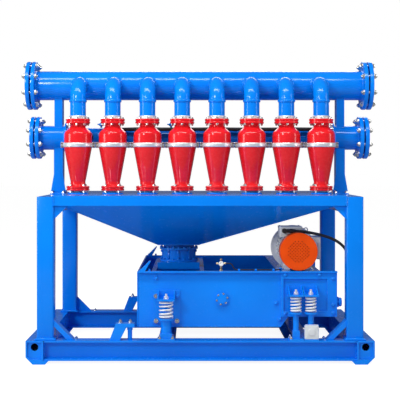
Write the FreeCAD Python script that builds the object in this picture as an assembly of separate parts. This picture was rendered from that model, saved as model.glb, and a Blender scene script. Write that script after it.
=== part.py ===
import FreeCAD, Part
import math
import os

from FreeCAD import Rotation, Vector

# Desilter, in millimetres: X runs along the machine, the front faces -Y and +Z is up.
# The origin is on the floor, under the middle of the skid.

# Skid: two I-beams between two hollow end members with lifting eyes
skid_length = 1835.0
skid_width = 1230.0
skid_end_width = 92.0
skid_end_height = 124.0
skid_end_wall = 8.0
skid_end_chamfer = 38.0
skid_shoe_toe = 28.0
skid_eye_d = 40.0
skid_eye_z = 90.0
skid_eye_plate_recess = 12.0
skid_beam_lift = 18.0
skid_beam_height = 106.0
skid_beam_width = 88.0
skid_beam_web = 8.0
skid_beam_flange = 9.0
skid_beam_inset = 8.0
cross_beam_width = 80.0

# Upright frame that carries the hopper and the manifolds
post_side = 90.0
post_wall = 6.0
post_spread_x = 1728.0
post_inset_y = 30.0
foot_plate_side = 112.0
foot_plate_thickness = 8.0
frame_top = 881.0
rail_height = 48.0
rail_width = 50.0
side_rail_height = 90.0
brace_leg = 104.0
brace_section = 34.0
gusset_leg = 92.0
gusset_thickness = 8.0
top_gusset_leg = 72.0

# Hopper under the cyclones
hopper_wall = 5.0
hopper_rim_depth = 36.0
hopper_outlet_x = -120.0
hopper_outlet_side = 240.0
hopper_outlet_z = 596.0
deck_thickness = 6.0
neck_outer_d = 165.0
neck_wall = 5.0
neck_length = 62.0

# Manifolds: the overflow header above and the feed header below it
overflow_header_d = 168.3
overflow_header_rise = 304.0
overflow_header_length = 1938.0
feed_header_d = 114.3
feed_end_d = 139.7
feed_header_z = 1209.0
feed_header_setback = 23.0
ring_plate_margin = 91.5
header_wall = 7.0
overflow_flange_d = 280.0
overflow_flange_pcd = 240.0
feed_flange_d = 245.0
feed_flange_pcd = 206.0
flange_thickness = 22.0
gasket_thickness = 9.0
flange_bolt_d = 16.0
flange_bolt_count = 8
nut_across_flats = 26.0
nut_height = 13.0
ring_plate_d = 176.0
ring_plate_thickness = 10.0
bolt_clearance = 1.0
gasket_edge = 6.0
stud_end = 7.0
strut_width = 52.0
upper_strut_width = 46.0
strut_depth = 80.0
strut_wall = 5.0
strut_foot_depth = 120.0
strut_rib_height = 110.0

# Cyclones, in a row in front of the manifolds
cyclone_count = 8
cyclone_pitch = 197.0
cyclone_y = -180.0
cyclone_wall = 14.0
cyclone_flange_d = 137.0
cyclone_flange_rise = 102.0
cyclone_flange_thickness = 27.0
cyclone_neck_d = 87.0
cyclone_neck_length = 23.0
cyclone_shoulder_length = 30.0
cyclone_barrel_d = 158.0
cyclone_inlet_rise = 46.0
flange_groove_width = 3.5
flange_groove_depth = 3.5
cone_end_z = 955.0
cone_end_d = 84.0
cone_neck_length = 24.0
cone_flange_d = 130.0
cone_flange_thickness = 26.0
vortex_bore_d = 54.0
apex_bore_d = 40.0
apex_outer_d = 62.0
apex_drop = 14.0
cone_wall_at_outlet = 7.0
inlet_outer_d = 56.0
inlet_wall = 7.0
inlet_offset = 42.0
inlet_reach = 104.0
clamp_height = 24.0
clamp_thickness = 5.0
clamp_lug_length = 12.0
clamp_lug_width = 26.0
clamp_lug_height = 32.0
clamp_split = 3.0
coupling_length = 30.0
coupling_wall = 6.0

# Overflow pipe from each cyclone up into the header
overflow_pipe_d = 88.9
overflow_pipe_wall = 5.0
elbow_radius = 95.0
socket_ring_d = 100.0
socket_ring_height = 9.0
joint_plate_d = 100.0
joint_plate_slope = 4.0
joint_plate_height = 18.0

# Collar on the deck that each underflow nozzle drops into
collar_outer_d = 84.0
collar_wall = 5.0
collar_flange_d = 118.0
collar_flange_thickness = 7.0
collar_height = 10.0

# Shaker basket on its springs
basket_left = -335.0
basket_right = 735.0
basket_top = 480.0
basket_bottom = 181.0
basket_tail_bottom = 236.0
basket_tail_length = 300.0
basket_tail_rise = 40.0
basket_wall = 8.0
basket_lip = 24.0
stand_clearance = 7.0
tail_frame_stand = 12.0
tail_frame_left = 13.0
tail_frame_right = 53.0
tail_frame_bottom = 29.0
tail_frame_top = 34.0
screen_thickness = 24.0
screen_z = 250.0
screen_pitch = 100.0
screen_bar = 14.0
screen_rows = 5
screen_setback = 20.0
feed_box_height = 38.0
feed_box_depth = 300.0
feed_bar = 24.0
sleeve_outer_d = 196.0
sleeve_flange_d = 222.0
sleeve_flange_thickness = 9.0
sleeve_height = 76.0
sleeve_drop = 25.0
bearing_cap_d = 68.0
bearing_cap_height = 16.0
bearing_cap_x = 118.0
bearing_cap_z = 331.0
shaft_tube_d = 76.0
shaft_tube_wall = 6.0

# Springs and what they stand between
spring_left_x = -180.0
spring_right_x = (508.0, 587.0)
spring_left_d = 76.0
spring_right_d = 60.0
spring_left_bottom = 237.0
spring_left_top = 331.0
spring_right_bottom = 269.0
spring_right_top = 354.0
spring_turns = 4.5
spring_wire_d = 9.0
spring_stand_left_d = 55.0
spring_stand_right_d = 30.0
seat_thickness = 9.0
seat_margin = 8.0
seat_cheek = 6.0
seat_cheek_height = 38.0
seat_backing = 8.0
seat_backing_drop = 16.0
doubler_margin = 26.0
doubler_drop = 131.0
stand_box_side = 74.0
stand_column_share = 0.6

# Motor on top of the basket
motor_x = 530.0
motor_axis_z = 584.0
motor_overhang = 10.0
motor_body_d = 192.0
motor_cover_d = 202.0
motor_cover_length = 78.0
motor_cover_wall = 3.0
motor_body_length = 270.0
motor_flange_d = 246.0
motor_flange_thickness = 22.0
motor_fin_count = 28
motor_fin_height = 12.0
motor_fin_thickness = 5.0
motor_fin_setback = 24.0
terminal_box_width = 124.0
terminal_box_shift = -32.0
terminal_box_depth = 116.0
terminal_box_height = 56.0
terminal_box_stand = 32.0
terminal_box_rise = 12.0
motor_plate_thickness = 12.0
motor_plate_width = 230.0
motor_foot_spread = 110.0
motor_foot_width = 34.0
motor_foot_length = 190.0
motor_foot_setback = 30.0
motor_foot_reach = 0.35
motor_grille_d = 124.0
motor_grille_pitch = 9.0
motor_grille_hole = 5.0

# Motor cable: from the elbow gland on the motor's top box to the grommet in the right front post
cable_d = 16.0
gland_boss_d = 26.0
gland_arm_d = 20.0
gland_arm_length = 30.0
gland_inset = 25.0
gland_drop = 22.0
gland_stand = 20.0
cable_lead = 60.0
grommet_d = 32.0
grommet_length = 14.0
grommet_z = 412.0
cable_route = [
    (650.0, -405.0, 671.0),
    (715.0, -390.0, 647.0),
    (765.0, -370.0, 608.0),
    (798.0, -355.0, 556.0),
    (818.0, -350.0, 480.0),
    (821.0, -402.0, 412.0),
]
arc_share = 0.45

# Hose along the inlet couplings, from a valve on the feed header to the right ring plate
hose_d = 22.0
hose_rise = 1.0
valve_side = 30.0
valve_rise = 57.0
valve_y = -54.0
valve_x = (-568.0, -164.0)
hose_lead = 45.0
hose_route = [
    (-440.0, -66.0, 0.4),
    (-340.0, -83.0, 2.5),
    (-215.0, -85.0, 0.6),
    (-60.0, -84.0, 0.3),
    (95.0, -76.0, 2.2),
    (240.0, -74.0, 0.5),
    (395.0, -79.0, 0.4),
    (530.0, -76.0, 2.0),
    (640.0, -73.0, 1.2),
]

# Stops on the skid beams beside the basket's left end, and the clips on its top corners
stop_gap = 12.0
stop_width = 56.0
stop_length = 98.0
stop_top = 212.0
stop_plate = 10.0
stop_lean = 34.0
clip_length = 64.0
clip_height = 56.0
clip_thickness = 8.0

# Lifting eye on the motor's barrel, behind the connection boxes
eyebolt_lean = 31.0
eyebolt_ring = 10.0
eyebolt_wire = 3.0
eyebolt_neck_d = 14.0
eyebolt_lift = 26.0
eyebolt_setback = 12.0

# Clearances
running_gap = 4.0
seat_gap = 0.3

# Places that follow from the sizes above
half_length = skid_length / 2
half_width = skid_width / 2
skid_top = skid_beam_lift + skid_beam_height
beam_y = half_width - skid_beam_inset - skid_beam_width / 2
post_outer_x = post_spread_x / 2
post_inner_x = post_outer_x - post_side
post_outer_y = half_width - post_inset_y
post_inner_y = post_outer_y - post_side
post_foot_z = skid_top + foot_plate_thickness
deck_top = frame_top + deck_thickness
hopper_half_y = post_outer_y - rail_width
overflow_header_z = feed_header_z + overflow_header_rise
feed_header_length = overflow_header_length - 2 * feed_header_setback
ring_plate_x = (cyclone_count - 1) * cyclone_pitch / 2 + ring_plate_margin
feed_end_length = feed_header_length / 2 - ring_plate_x
valve_top = feed_header_z + valve_rise
cyclone_joint_z = feed_header_z - cyclone_inlet_rise
cyclone_flange_top = feed_header_z + cyclone_flange_rise
cyclone_floor = cyclone_flange_top - cyclone_flange_thickness
cone_flange_top = cone_end_z - cone_neck_length
cone_flange_floor = cone_flange_top - cone_flange_thickness
basket_half = beam_y - (spring_left_d + seat_margin) / 2 - stand_clearance - basket_lip
basket_inner_half = basket_half - basket_wall
basket_tail_x = basket_right - basket_tail_length
motor_front = -basket_half - motor_overhang
motor_back = motor_front + motor_cover_length
headers = [
    (overflow_header_d, overflow_flange_pcd, overflow_header_length, overflow_header_z),
    (feed_end_d, feed_flange_pcd, feed_header_length, feed_header_z),
]

X_AXIS = Vector(1, 0, 0)
Y_AXIS = Vector(0, 1, 0)
Z_AXIS = Vector(0, 0, 1)


def block(x_range, y_range, z_range):
    """A plain block between the two ends of each range."""
    size = Vector(x_range[1] - x_range[0], y_range[1] - y_range[0], z_range[1] - z_range[0])
    corner = Vector(x_range[0], y_range[0], z_range[0])
    return Part.makeBox(size.x, size.y, size.z, corner)


def span(middle, width):
    """The two ends of a width about its middle."""
    return (middle - width / 2, middle + width / 2)


def rod(diameter, start, axis, length):
    """A round bar from a start point along an axis."""
    return Part.makeCylinder(diameter / 2, length, start, axis)


def pipe(diameter, wall, start, axis, length):
    """A round tube, open at both ends."""
    bore = rod(diameter - 2 * wall, start, axis, length)
    return rod(diameter, start, axis, length).cut(bore)


def extruded(corners, direction):
    """A straight-sided outline, pushed along a direction."""
    wire = Part.makePolygon(corners + [corners[0]])
    return Part.Face(wire).extrude(direction)


def turned(profile, centre):
    """An outline of (radius, height) points, turned about the upright line through a centre."""
    corners = [Vector(centre.x + radius, centre.y, centre.z + height) for radius, height in profile]
    wire = Part.makePolygon(corners + [corners[0]])
    return Part.Face(wire).revolve(centre, Z_AXIS, 360)


def joined(solids):
    """Welded pieces made into one solid."""
    first = solids[0]
    return first.multiFuse(solids[1:]).removeSplitter()


def mirrored_x(shape):
    """The same piece on the other end of the machine."""
    return shape.mirror(Vector(0, 0, 0), X_AXIS)


def mirrored_y(shape):
    """The same piece on the other side of the machine."""
    return shape.mirror(Vector(0, 0, 0), Y_AXIS)


def save(name, solids):
    """One sub-part goes to its own file, as one solid or a group of like solids."""
    shape = solids[0] if len(solids) == 1 else Part.makeCompound(solids)
    shape.exportStep(os.path.join("parts", name + ".step"))


def i_section(width, height, web, flange):
    """The outline of an I-beam about its own middle, as (across, up) pairs."""
    half = width / 2
    top = height / 2
    inner = web / 2
    shelf = top - flange
    right = [(half, -top), (half, -shelf), (inner, -shelf), (inner, shelf), (half, shelf), (half, top)]
    left = [(-across, up) for across, up in reversed(right)]
    return right + left


def skid_end():
    """The left end member: a hollow chamfered section with a recessed lifting-eye plate at each end."""
    outer_x = -half_length
    inner_x = outer_x + skid_end_width
    toe_x = inner_x + skid_shoe_toe
    outline = [
        (outer_x + skid_end_chamfer, 0), (toe_x - skid_beam_lift, 0), (toe_x, skid_beam_lift),
        (inner_x, skid_beam_lift), (inner_x, skid_end_height), (outer_x, skid_end_height),
        (outer_x, skid_end_chamfer),
    ]
    wall = skid_end_wall
    hollow_floor = skid_beam_lift + wall
    corner = skid_end_chamfer + wall * math.sqrt(2)
    hollow = [
        (outer_x + corner - hollow_floor, hollow_floor), (inner_x - wall, hollow_floor),
        (inner_x - wall, skid_end_height - wall), (outer_x + wall, skid_end_height - wall),
        (outer_x + wall, corner - wall),
    ]
    along = Vector(0, skid_width, 0)
    shell = extruded([Vector(x, -half_width, z) for x, z in outline], along)
    shell = shell.cut(extruded([Vector(x, -half_width, z) for x, z in hollow], along))
    plates = []
    for y in (-half_width + skid_eye_plate_recess, half_width - skid_eye_plate_recess - wall):
        plate = extruded([Vector(x, y, z) for x, z in hollow], Vector(0, wall, 0))
        eye = rod(skid_eye_d, Vector(outer_x + skid_end_width / 2, y, skid_eye_z), Y_AXIS, wall)
        plates.append(plate.cut(eye))
    return joined([shell] + plates)


def skid_beam():
    """The front skid beam, between the end members."""
    start = -half_length + skid_end_width
    middle = Vector(start, -beam_y, skid_beam_lift + skid_beam_height / 2)
    outline = i_section(skid_beam_width, skid_beam_height, skid_beam_web, skid_beam_flange)
    corners = [middle + Vector(0, across, up) for across, up in outline]
    return extruded(corners, Vector(-2 * start, 0, 0))


def cross_beam(x):
    """A cross beam between the skid beams, under the springs."""
    start = -beam_y + skid_beam_width / 2
    middle = Vector(x, start, skid_beam_lift + skid_beam_height / 2)
    outline = i_section(cross_beam_width, skid_beam_height, skid_beam_web, skid_beam_flange)
    corners = [middle + Vector(across, 0, up) for across, up in outline]
    return extruded(corners, Vector(0, -2 * start, 0))


def square_tube(x_range, y_range, z_range, wall, axis):
    """A rectangular tube, open at its ends along the axis."""
    outer = block(x_range, y_range, z_range)
    ranges = []
    for letter, ends in zip("xyz", (x_range, y_range, z_range)):
        shrink = 0 if letter == axis else wall
        ranges.append((ends[0] + shrink, ends[1] - shrink))
    return outer.cut(block(*ranges))


def foot_plate():
    """The plate under the front left post."""
    middle_x = -post_outer_x + post_side / 2
    middle_y = -post_outer_y + post_side / 2
    return block(span(middle_x, foot_plate_side), span(middle_y, foot_plate_side), (skid_top, post_foot_z))


def post():
    """The front left post: a capped square tube on its foot plate, with a drain hole through the plate."""
    x_range = (-post_outer_x, -post_inner_x)
    y_range = (-post_outer_y, -post_inner_y)
    tube = square_tube(x_range, y_range, (post_foot_z, frame_top), post_wall, "z")
    cap = block(x_range, y_range, (frame_top - post_wall, frame_top))
    drain_start = Vector(sum(x_range) / 2, sum(y_range) / 2, skid_top)
    drain = rod(post_side / 3, drain_start, Z_AXIS, foot_plate_thickness)
    return joined([tube, cap, foot_plate().cut(drain)])


def gusset(leg, corner, x_sign, z_sign, thickness):
    """A triangular plate in a corner of the upright frame, in the plane of the rails."""
    corners = [
        corner, corner + Vector(x_sign * leg, 0, 0), corner + Vector(0, 0, z_sign * leg),
    ]
    return extruded(corners, Vector(0, thickness, 0))


def front_brace():
    """A diagonal bar from the front left post down to the skid beam."""
    x = -post_inner_x
    z = skid_top
    leg = brace_leg
    cut = brace_leg - brace_section
    outline = [(x, z + leg), (x + leg, z), (x + cut, z), (x, z + cut)]
    start = -post_outer_y + post_side / 2 - brace_section
    return extruded([Vector(across, start, up) for across, up in outline], Vector(0, 2 * brace_section, 0))


def gussets():
    """Corner plates: two at the rear feet and four under the top rails."""
    plate_y = post_outer_y - post_side / 2
    foot = gusset(gusset_leg, Vector(-post_inner_x, plate_y, skid_top), 1, 1, gusset_thickness)
    foot = foot.cut(mirrored_y(foot_plate()))
    rail_y = post_outer_y - rail_width / 2
    under_rail = frame_top - rail_height
    head = gusset(top_gusset_leg, Vector(-post_inner_x, rail_y, under_rail), 1, -1, gusset_thickness)
    pair = [foot, head, mirrored_y(head)]
    return pair + [mirrored_x(plate) for plate in pair]


def hopper():
    """The hopper: an upright rim, four sloping walls and a round neck under a square outlet."""
    def shell_of(inset, top_extra):
        outlet = hopper_outlet_side / 2 - inset
        levels = [(hopper_outlet_z, (hopper_outlet_x - outlet, hopper_outlet_x + outlet), (-outlet, outlet))]
        rim_x = (-post_inner_x + inset, post_inner_x - inset)
        rim_y = (-hopper_half_y + inset, hopper_half_y - inset)
        levels.append((frame_top - hopper_rim_depth, rim_x, rim_y))
        wires = []
        for z, x_ends, y_ends in levels:
            ring = [
                Vector(x_ends[0], y_ends[0], z), Vector(x_ends[1], y_ends[0], z),
                Vector(x_ends[1], y_ends[1], z), Vector(x_ends[0], y_ends[1], z),
            ]
            wires.append(Part.makePolygon(ring + [ring[0]]))
        slopes = Part.makeLoft(wires, True, True)
        rim = block(rim_x, rim_y, (frame_top - hopper_rim_depth, frame_top + top_extra))
        return slopes.fuse(rim)

    shell = shell_of(0, 0).cut(shell_of(hopper_wall, hopper_wall))
    outlet = span(hopper_outlet_x, hopper_outlet_side)
    side = span(0, hopper_outlet_side)
    plate = block(outlet, side, (hopper_outlet_z - hopper_wall, hopper_outlet_z))
    bore = neck_outer_d - 2 * neck_wall
    plate_floor = Vector(hopper_outlet_x, 0, hopper_outlet_z - hopper_wall)
    plate = plate.cut(rod(bore, plate_floor, Z_AXIS, hopper_wall))
    neck = pipe(neck_outer_d, neck_wall, plate_floor, Z_AXIS * -1, neck_length)
    return joined([shell, plate, neck])


def cyclone_x(index):
    """The place of one cyclone along the machine, counted from the left."""
    return (index - (cyclone_count - 1) / 2) * cyclone_pitch


def hopper_deck():
    """The plate over the hopper, with one hole for each underflow collar."""
    deck = block((-post_inner_x, post_inner_x), (-post_outer_y, post_outer_y), (frame_top, deck_top))
    bore = collar_outer_d - 2 * collar_wall
    holes = []
    for index in range(cyclone_count):
        start = Vector(cyclone_x(index), cyclone_y, frame_top)
        holes.append(rod(bore, start, Z_AXIS, deck_thickness))
    return deck.cut(Part.makeCompound(holes))


def underflow_collar(index):
    """A flanged collar on the deck, around one underflow nozzle."""
    inner = collar_outer_d / 2 - collar_wall
    outer = collar_outer_d / 2
    rim = collar_flange_d / 2
    profile = [
        (inner, 0), (rim, 0), (rim, collar_flange_thickness), (outer, collar_flange_thickness),
        (outer, collar_height), (inner, collar_height),
    ]
    return turned(profile, Vector(cyclone_x(index), cyclone_y, deck_top))


def grooved_rim(radius, floor, top):
    """The edge of a double flange, from its floor up: two discs with a groove between them."""
    middle = (floor + top) / 2
    waist = radius - flange_groove_depth
    low = middle - flange_groove_width / 2
    high = middle + flange_groove_width / 2
    return [(radius, floor), (radius, low), (waist, low), (waist, high), (radius, high), (radius, top)]


def cyclone_head(index):
    """The head of one cyclone: a flanged neck, a sloping shoulder, a barrel and a side inlet."""
    centre = Vector(cyclone_x(index), cyclone_y, 0)
    barrel = cyclone_barrel_d / 2
    neck = cyclone_neck_d / 2
    flange = cyclone_flange_d / 2
    shoulder_top = cyclone_floor - cyclone_neck_length
    shoulder_floor = shoulder_top - cyclone_shoulder_length
    skin = [
        (0, cyclone_joint_z), (barrel, cyclone_joint_z), (barrel, shoulder_floor), (neck, shoulder_top),
        (neck, cyclone_floor),
    ]
    skin += grooved_rim(flange, cyclone_floor, cyclone_flange_top) + [(0, cyclone_flange_top)]
    bore = vortex_bore_d / 2
    chamber = [
        (0, cyclone_joint_z), (barrel - cyclone_wall, cyclone_joint_z),
        (barrel - cyclone_wall, shoulder_floor - cyclone_wall / 2), (bore, shoulder_top - cyclone_wall),
        (bore, cyclone_flange_top), (0, cyclone_flange_top),
    ]
    inlet_start = Vector(centre.x + inlet_offset, cyclone_y, feed_header_z)
    inlet = rod(inlet_outer_d, inlet_start, Y_AXIS, inlet_reach)
    inlet_bore = rod(inlet_outer_d - 2 * inlet_wall, inlet_start, Y_AXIS, inlet_reach)
    outside = turned(skin, centre).fuse(inlet)
    return outside.cut(turned(chamber, centre).fuse(inlet_bore)).removeSplitter()


def cyclone_cone(index):
    """The cone of one cyclone, from the clamped joint down to its flange."""
    top = cyclone_barrel_d / 2
    waist = cone_end_d / 2
    flange = cone_flange_d / 2
    outlet = apex_bore_d / 2 + cone_wall_at_outlet
    profile = [
        (top - cyclone_wall, cyclone_joint_z), (top, cyclone_joint_z),
        (top, cyclone_joint_z - clamp_height / 2), (waist, cone_end_z), (waist, cone_flange_top),
    ]
    profile += reversed(grooved_rim(flange, cone_flange_floor, cone_flange_top))
    profile += [(outlet, cone_flange_floor), (outlet, cone_flange_top)]
    return turned(profile, Vector(cyclone_x(index), cyclone_y, 0))


def apex_nozzle(index):
    """The underflow nozzle, which hangs from the cone flange into its collar."""
    outer = apex_outer_d / 2
    bore = apex_bore_d / 2
    profile = [
        (bore, cone_flange_floor), (outer, cone_flange_floor), (outer, frame_top - apex_drop),
        (bore, frame_top - apex_drop),
    ]
    return turned(profile, Vector(cyclone_x(index), cyclone_y, 0))


def cyclone_clamp(index):
    """A two-part band round the joint of a cyclone, with a bolted lug on each side."""
    bore = cyclone_barrel_d + 2 * seat_gap
    floor = cyclone_joint_z - clamp_height / 2
    centre = Vector(cyclone_x(index), cyclone_y, floor)
    band = rod(bore + 2 * clamp_thickness, centre, Z_AXIS, clamp_height)
    reach = bore + 2 * clamp_thickness + 2 * clamp_lug_length
    z_range = span(cyclone_joint_z, clamp_lug_height)
    lugs = block(span(centre.x, reach), span(cyclone_y, clamp_lug_width), z_range)
    split = block(span(centre.x, reach), span(cyclone_y, clamp_split), z_range)
    keep_out = rod(bore, Vector(centre.x, centre.y, z_range[0]), Z_AXIS, clamp_lug_height)
    return band.fuse(lugs).cut(keep_out).cut(split)


def joint_plate(index):
    """The steel ring between a cyclone's top flange and its overflow pipe."""
    bore = vortex_bore_d / 2
    rim = joint_plate_d / 2
    top = joint_plate_height
    profile = [(bore, 0), (rim, 0), (rim - joint_plate_slope, top), (bore, top)]
    return turned(profile, Vector(cyclone_x(index), cyclone_y, cyclone_flange_top))


def overflow_pipe(index):
    """The pipe from a cyclone up round a bend into the overflow header."""
    x = cyclone_x(index)
    outer = overflow_pipe_d / 2
    start = Vector(x, cyclone_y, cyclone_flange_top + joint_plate_height)
    bend_start = Vector(x, cyclone_y, overflow_header_z - elbow_radius)
    drop = pipe(overflow_pipe_d, overflow_pipe_wall, start, Z_AXIS, bend_start.z - start.z)
    rim = Part.Face(Part.Wire(Part.makeCircle(outer, bend_start, Z_AXIS)))
    bore = Part.Face(Part.Wire(Part.makeCircle(outer - overflow_pipe_wall, bend_start, Z_AXIS)))
    pivot = bend_start + Y_AXIS * elbow_radius
    bend = rim.cut(bore).revolve(pivot, X_AXIS * -1, 90)
    bend_end = Vector(x, cyclone_y + elbow_radius, overflow_header_z)
    stub = pipe(overflow_pipe_d, overflow_pipe_wall, bend_end, Y_AXIS, -bend_end.y)
    header = rod(overflow_header_d, Vector(x - outer, 0, overflow_header_z), X_AXIS, overflow_pipe_d)
    socket_start = bend_start - Z_AXIS * socket_ring_height
    socket_wall = (socket_ring_d - overflow_pipe_d) / 2 + overflow_pipe_wall / 2
    socket = pipe(socket_ring_d, socket_wall, socket_start, Z_AXIS, socket_ring_height)
    return joined([drop, bend, stub.cut(header), socket])


def bolt_circle(pcd, z):
    """The centres of the flange bolts on a circle about a header, as (y, z) pairs."""
    places = []
    for step in range(flange_bolt_count):
        angle = 2 * math.pi * (step + 0.5) / flange_bolt_count
        places.append((pcd / 2 * math.cos(angle), z + pcd / 2 * math.sin(angle)))
    return places


def flange_disc(diameter, bore, pcd, x, z):
    """A flange on the right end of a header, with its ring of bolt holes."""
    disc = rod(diameter, Vector(x, 0, z), X_AXIS, flange_thickness)
    holes = []
    if bore > 0:
        holes.append(rod(bore, Vector(x, 0, z), X_AXIS, flange_thickness))
    for y, hole_z in bolt_circle(pcd, z):
        start = Vector(x, y, hole_z)
        holes.append(rod(flange_bolt_d + 2 * bolt_clearance, start, X_AXIS, flange_thickness))
    return disc.cut(Part.makeCompound(holes))


def overflow_header():
    """The overflow header: one long pipe with a flange on each end and an opening behind each bend."""
    start = Vector(-overflow_header_length / 2, 0, overflow_header_z)
    barrel = pipe(overflow_header_d, header_wall, start, X_AXIS, overflow_header_length)
    openings = []
    for index in range(cyclone_count):
        opening_start = Vector(cyclone_x(index), -overflow_header_d / 2, overflow_header_z)
        opening_d = overflow_pipe_d - 2 * overflow_pipe_wall
        openings.append(rod(opening_d, opening_start, Y_AXIS, overflow_header_d / 2))
    barrel = barrel.cut(Part.makeCompound(openings))
    flange_x = overflow_header_length / 2 - flange_thickness
    flange = flange_disc(
        overflow_flange_d, overflow_header_d - header_wall, overflow_flange_pcd, flange_x, overflow_header_z)
    return joined([barrel, flange, mirrored_x(flange)])


def feed_header():
    """The feed header: a pipe with wider flanged ends, ring plates, two valves and the cyclones' stubs."""
    ring_x = ring_plate_x
    axis_start = Vector(-ring_x, 0, feed_header_z)
    barrel = pipe(feed_header_d, header_wall, axis_start, X_AXIS, 2 * ring_x)
    keep_out = rod(feed_header_d, axis_start, X_AXIS, 2 * ring_x)
    stub_start_y = cyclone_y + inlet_reach
    stub_bore = inlet_outer_d - 2 * inlet_wall
    stubs = []
    openings = []
    for index in range(cyclone_count):
        start = Vector(cyclone_x(index) + inlet_offset, stub_start_y, feed_header_z)
        stub = pipe(inlet_outer_d, inlet_wall, start, Y_AXIS, -stub_start_y)
        stubs.append(stub.cut(keep_out))
        openings.append(rod(stub_bore, start, Y_AXIS, -stub_start_y))
    barrel = barrel.cut(Part.makeCompound(openings))
    end = pipe(feed_end_d, header_wall, Vector(ring_x, 0, feed_header_z), X_AXIS, feed_end_length)
    ring_start = Vector(ring_x - ring_plate_thickness, 0, feed_header_z)
    ring = rod(ring_plate_d, ring_start, X_AXIS, ring_plate_thickness)
    ring = ring.cut(rod(feed_header_d - header_wall, ring_start, X_AXIS, ring_plate_thickness))
    flange_x = feed_header_length / 2 - flange_thickness
    flange = flange_disc(feed_flange_d, feed_end_d - header_wall, feed_flange_pcd, flange_x, feed_header_z)
    ends = [end, ring, flange]
    valves = []
    for x in valve_x:
        valve = block(span(x, valve_side), span(valve_y, valve_side), (feed_header_z, valve_top))
        valves.append(valve.cut(keep_out))
    return joined([barrel] + stubs + valves + ends + [mirrored_x(piece) for piece in ends])


def end_flanges(diameter, pcd, header_length, z, inlet_bore):
    """The outer flanges of one header: an open one on the left and a blind one on the right."""
    x = header_length / 2 + gasket_thickness
    open_flange = mirrored_x(flange_disc(diameter, inlet_bore, pcd, x, z))
    return [open_flange, flange_disc(diameter, 0, pcd, x, z)]


def gaskets():
    """The ring between each pair of flanges."""
    rings = []
    for header_d, pcd, length, z in headers:
        outer = pcd - flange_bolt_d - 2 * bolt_clearance - gasket_edge
        start = Vector(length / 2, 0, z)
        ring = pipe(outer, (outer - header_d) / 2 + header_wall, start, X_AXIS, gasket_thickness)
        rings += [ring, mirrored_x(ring)]
    return rings


def hexagon(centre, axis, height):
    """A hexagonal nut or head, centred on a point of one of its faces."""
    corner_radius = nut_across_flats / math.sqrt(3)
    sideways = Z_AXIS if abs(axis.x) > 0 else X_AXIS
    corners = []
    for step in range(6):
        turn = Rotation(axis, 60 * step)
        corners.append(centre + turn.multVec(sideways * corner_radius))
    return extruded(corners, axis * height)


def flange_studs():
    """Studs through the flange pairs, with a nut on each end."""
    studs = []
    for header_d, pcd, length, z in headers:
        inner_face = length / 2 - flange_thickness
        grip = 2 * flange_thickness + gasket_thickness
        for y, stud_z in bolt_circle(pcd, z):
            start = Vector(inner_face - nut_height - stud_end, y, stud_z)
            shank = rod(flange_bolt_d, start, X_AXIS, grip + 2 * nut_height + 2 * stud_end)
            inner_nut = hexagon(Vector(inner_face - nut_height, y, stud_z), X_AXIS, nut_height)
            outer_nut = hexagon(Vector(inner_face + grip, y, stud_z), X_AXIS, nut_height)
            stud = joined([shank, inner_nut, outer_nut])
            studs += [stud, mirrored_x(stud)]
    return studs


def inlet_coupling(index):
    """The band round the joint between a cyclone's inlet and its stub on the feed header."""
    middle = cyclone_y + inlet_reach
    start = Vector(cyclone_x(index) + inlet_offset, middle - coupling_length / 2, feed_header_z)
    return pipe(
        inlet_outer_d + 2 * (coupling_wall + seat_gap), coupling_wall, start, Y_AXIS, coupling_length)


def feed_header_support():
    """The left strut from the side rail to the feed header, with its foot plate and ribs."""
    x = -(post_outer_x + post_inner_x) / 2
    floor = frame_top + deck_thickness
    plate = block(span(x, post_side), span(0, strut_foot_depth), (frame_top, floor))
    tube = square_tube(span(x, strut_width), span(0, strut_depth), (floor, feed_header_z), strut_wall, "z")
    drum = rod(feed_end_d, Vector(x - strut_width, 0, feed_header_z), X_AXIS, 2 * strut_width)
    edge = strut_width / 2
    foot = post_side / 2
    ribs = []
    for sign in (-1, 1):
        corners = [
            Vector(x + sign * edge, 0, floor), Vector(x + sign * foot, 0, floor),
            Vector(x + sign * edge, 0, floor + strut_rib_height),
        ]
        rib = extruded(corners, Y_AXIS * strut_wall)
        rib.translate(Y_AXIS * -strut_depth / 2)
        ribs.append(rib)
    return joined([plate, tube.cut(drum)] + ribs)


def overflow_header_support():
    """The left strut between the two headers."""
    x = -(post_outer_x + post_inner_x) / 2
    z_range = (feed_header_z, overflow_header_z)
    tube = square_tube(span(x, upper_strut_width), span(0, strut_depth), z_range, strut_wall, "z")
    lower = rod(feed_end_d, Vector(x - strut_width, 0, feed_header_z), X_AXIS, 2 * strut_width)
    upper = rod(overflow_header_d, Vector(x - strut_width, 0, overflow_header_z), X_AXIS, 2 * strut_width)
    return tube.cut(lower).cut(upper)


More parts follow.
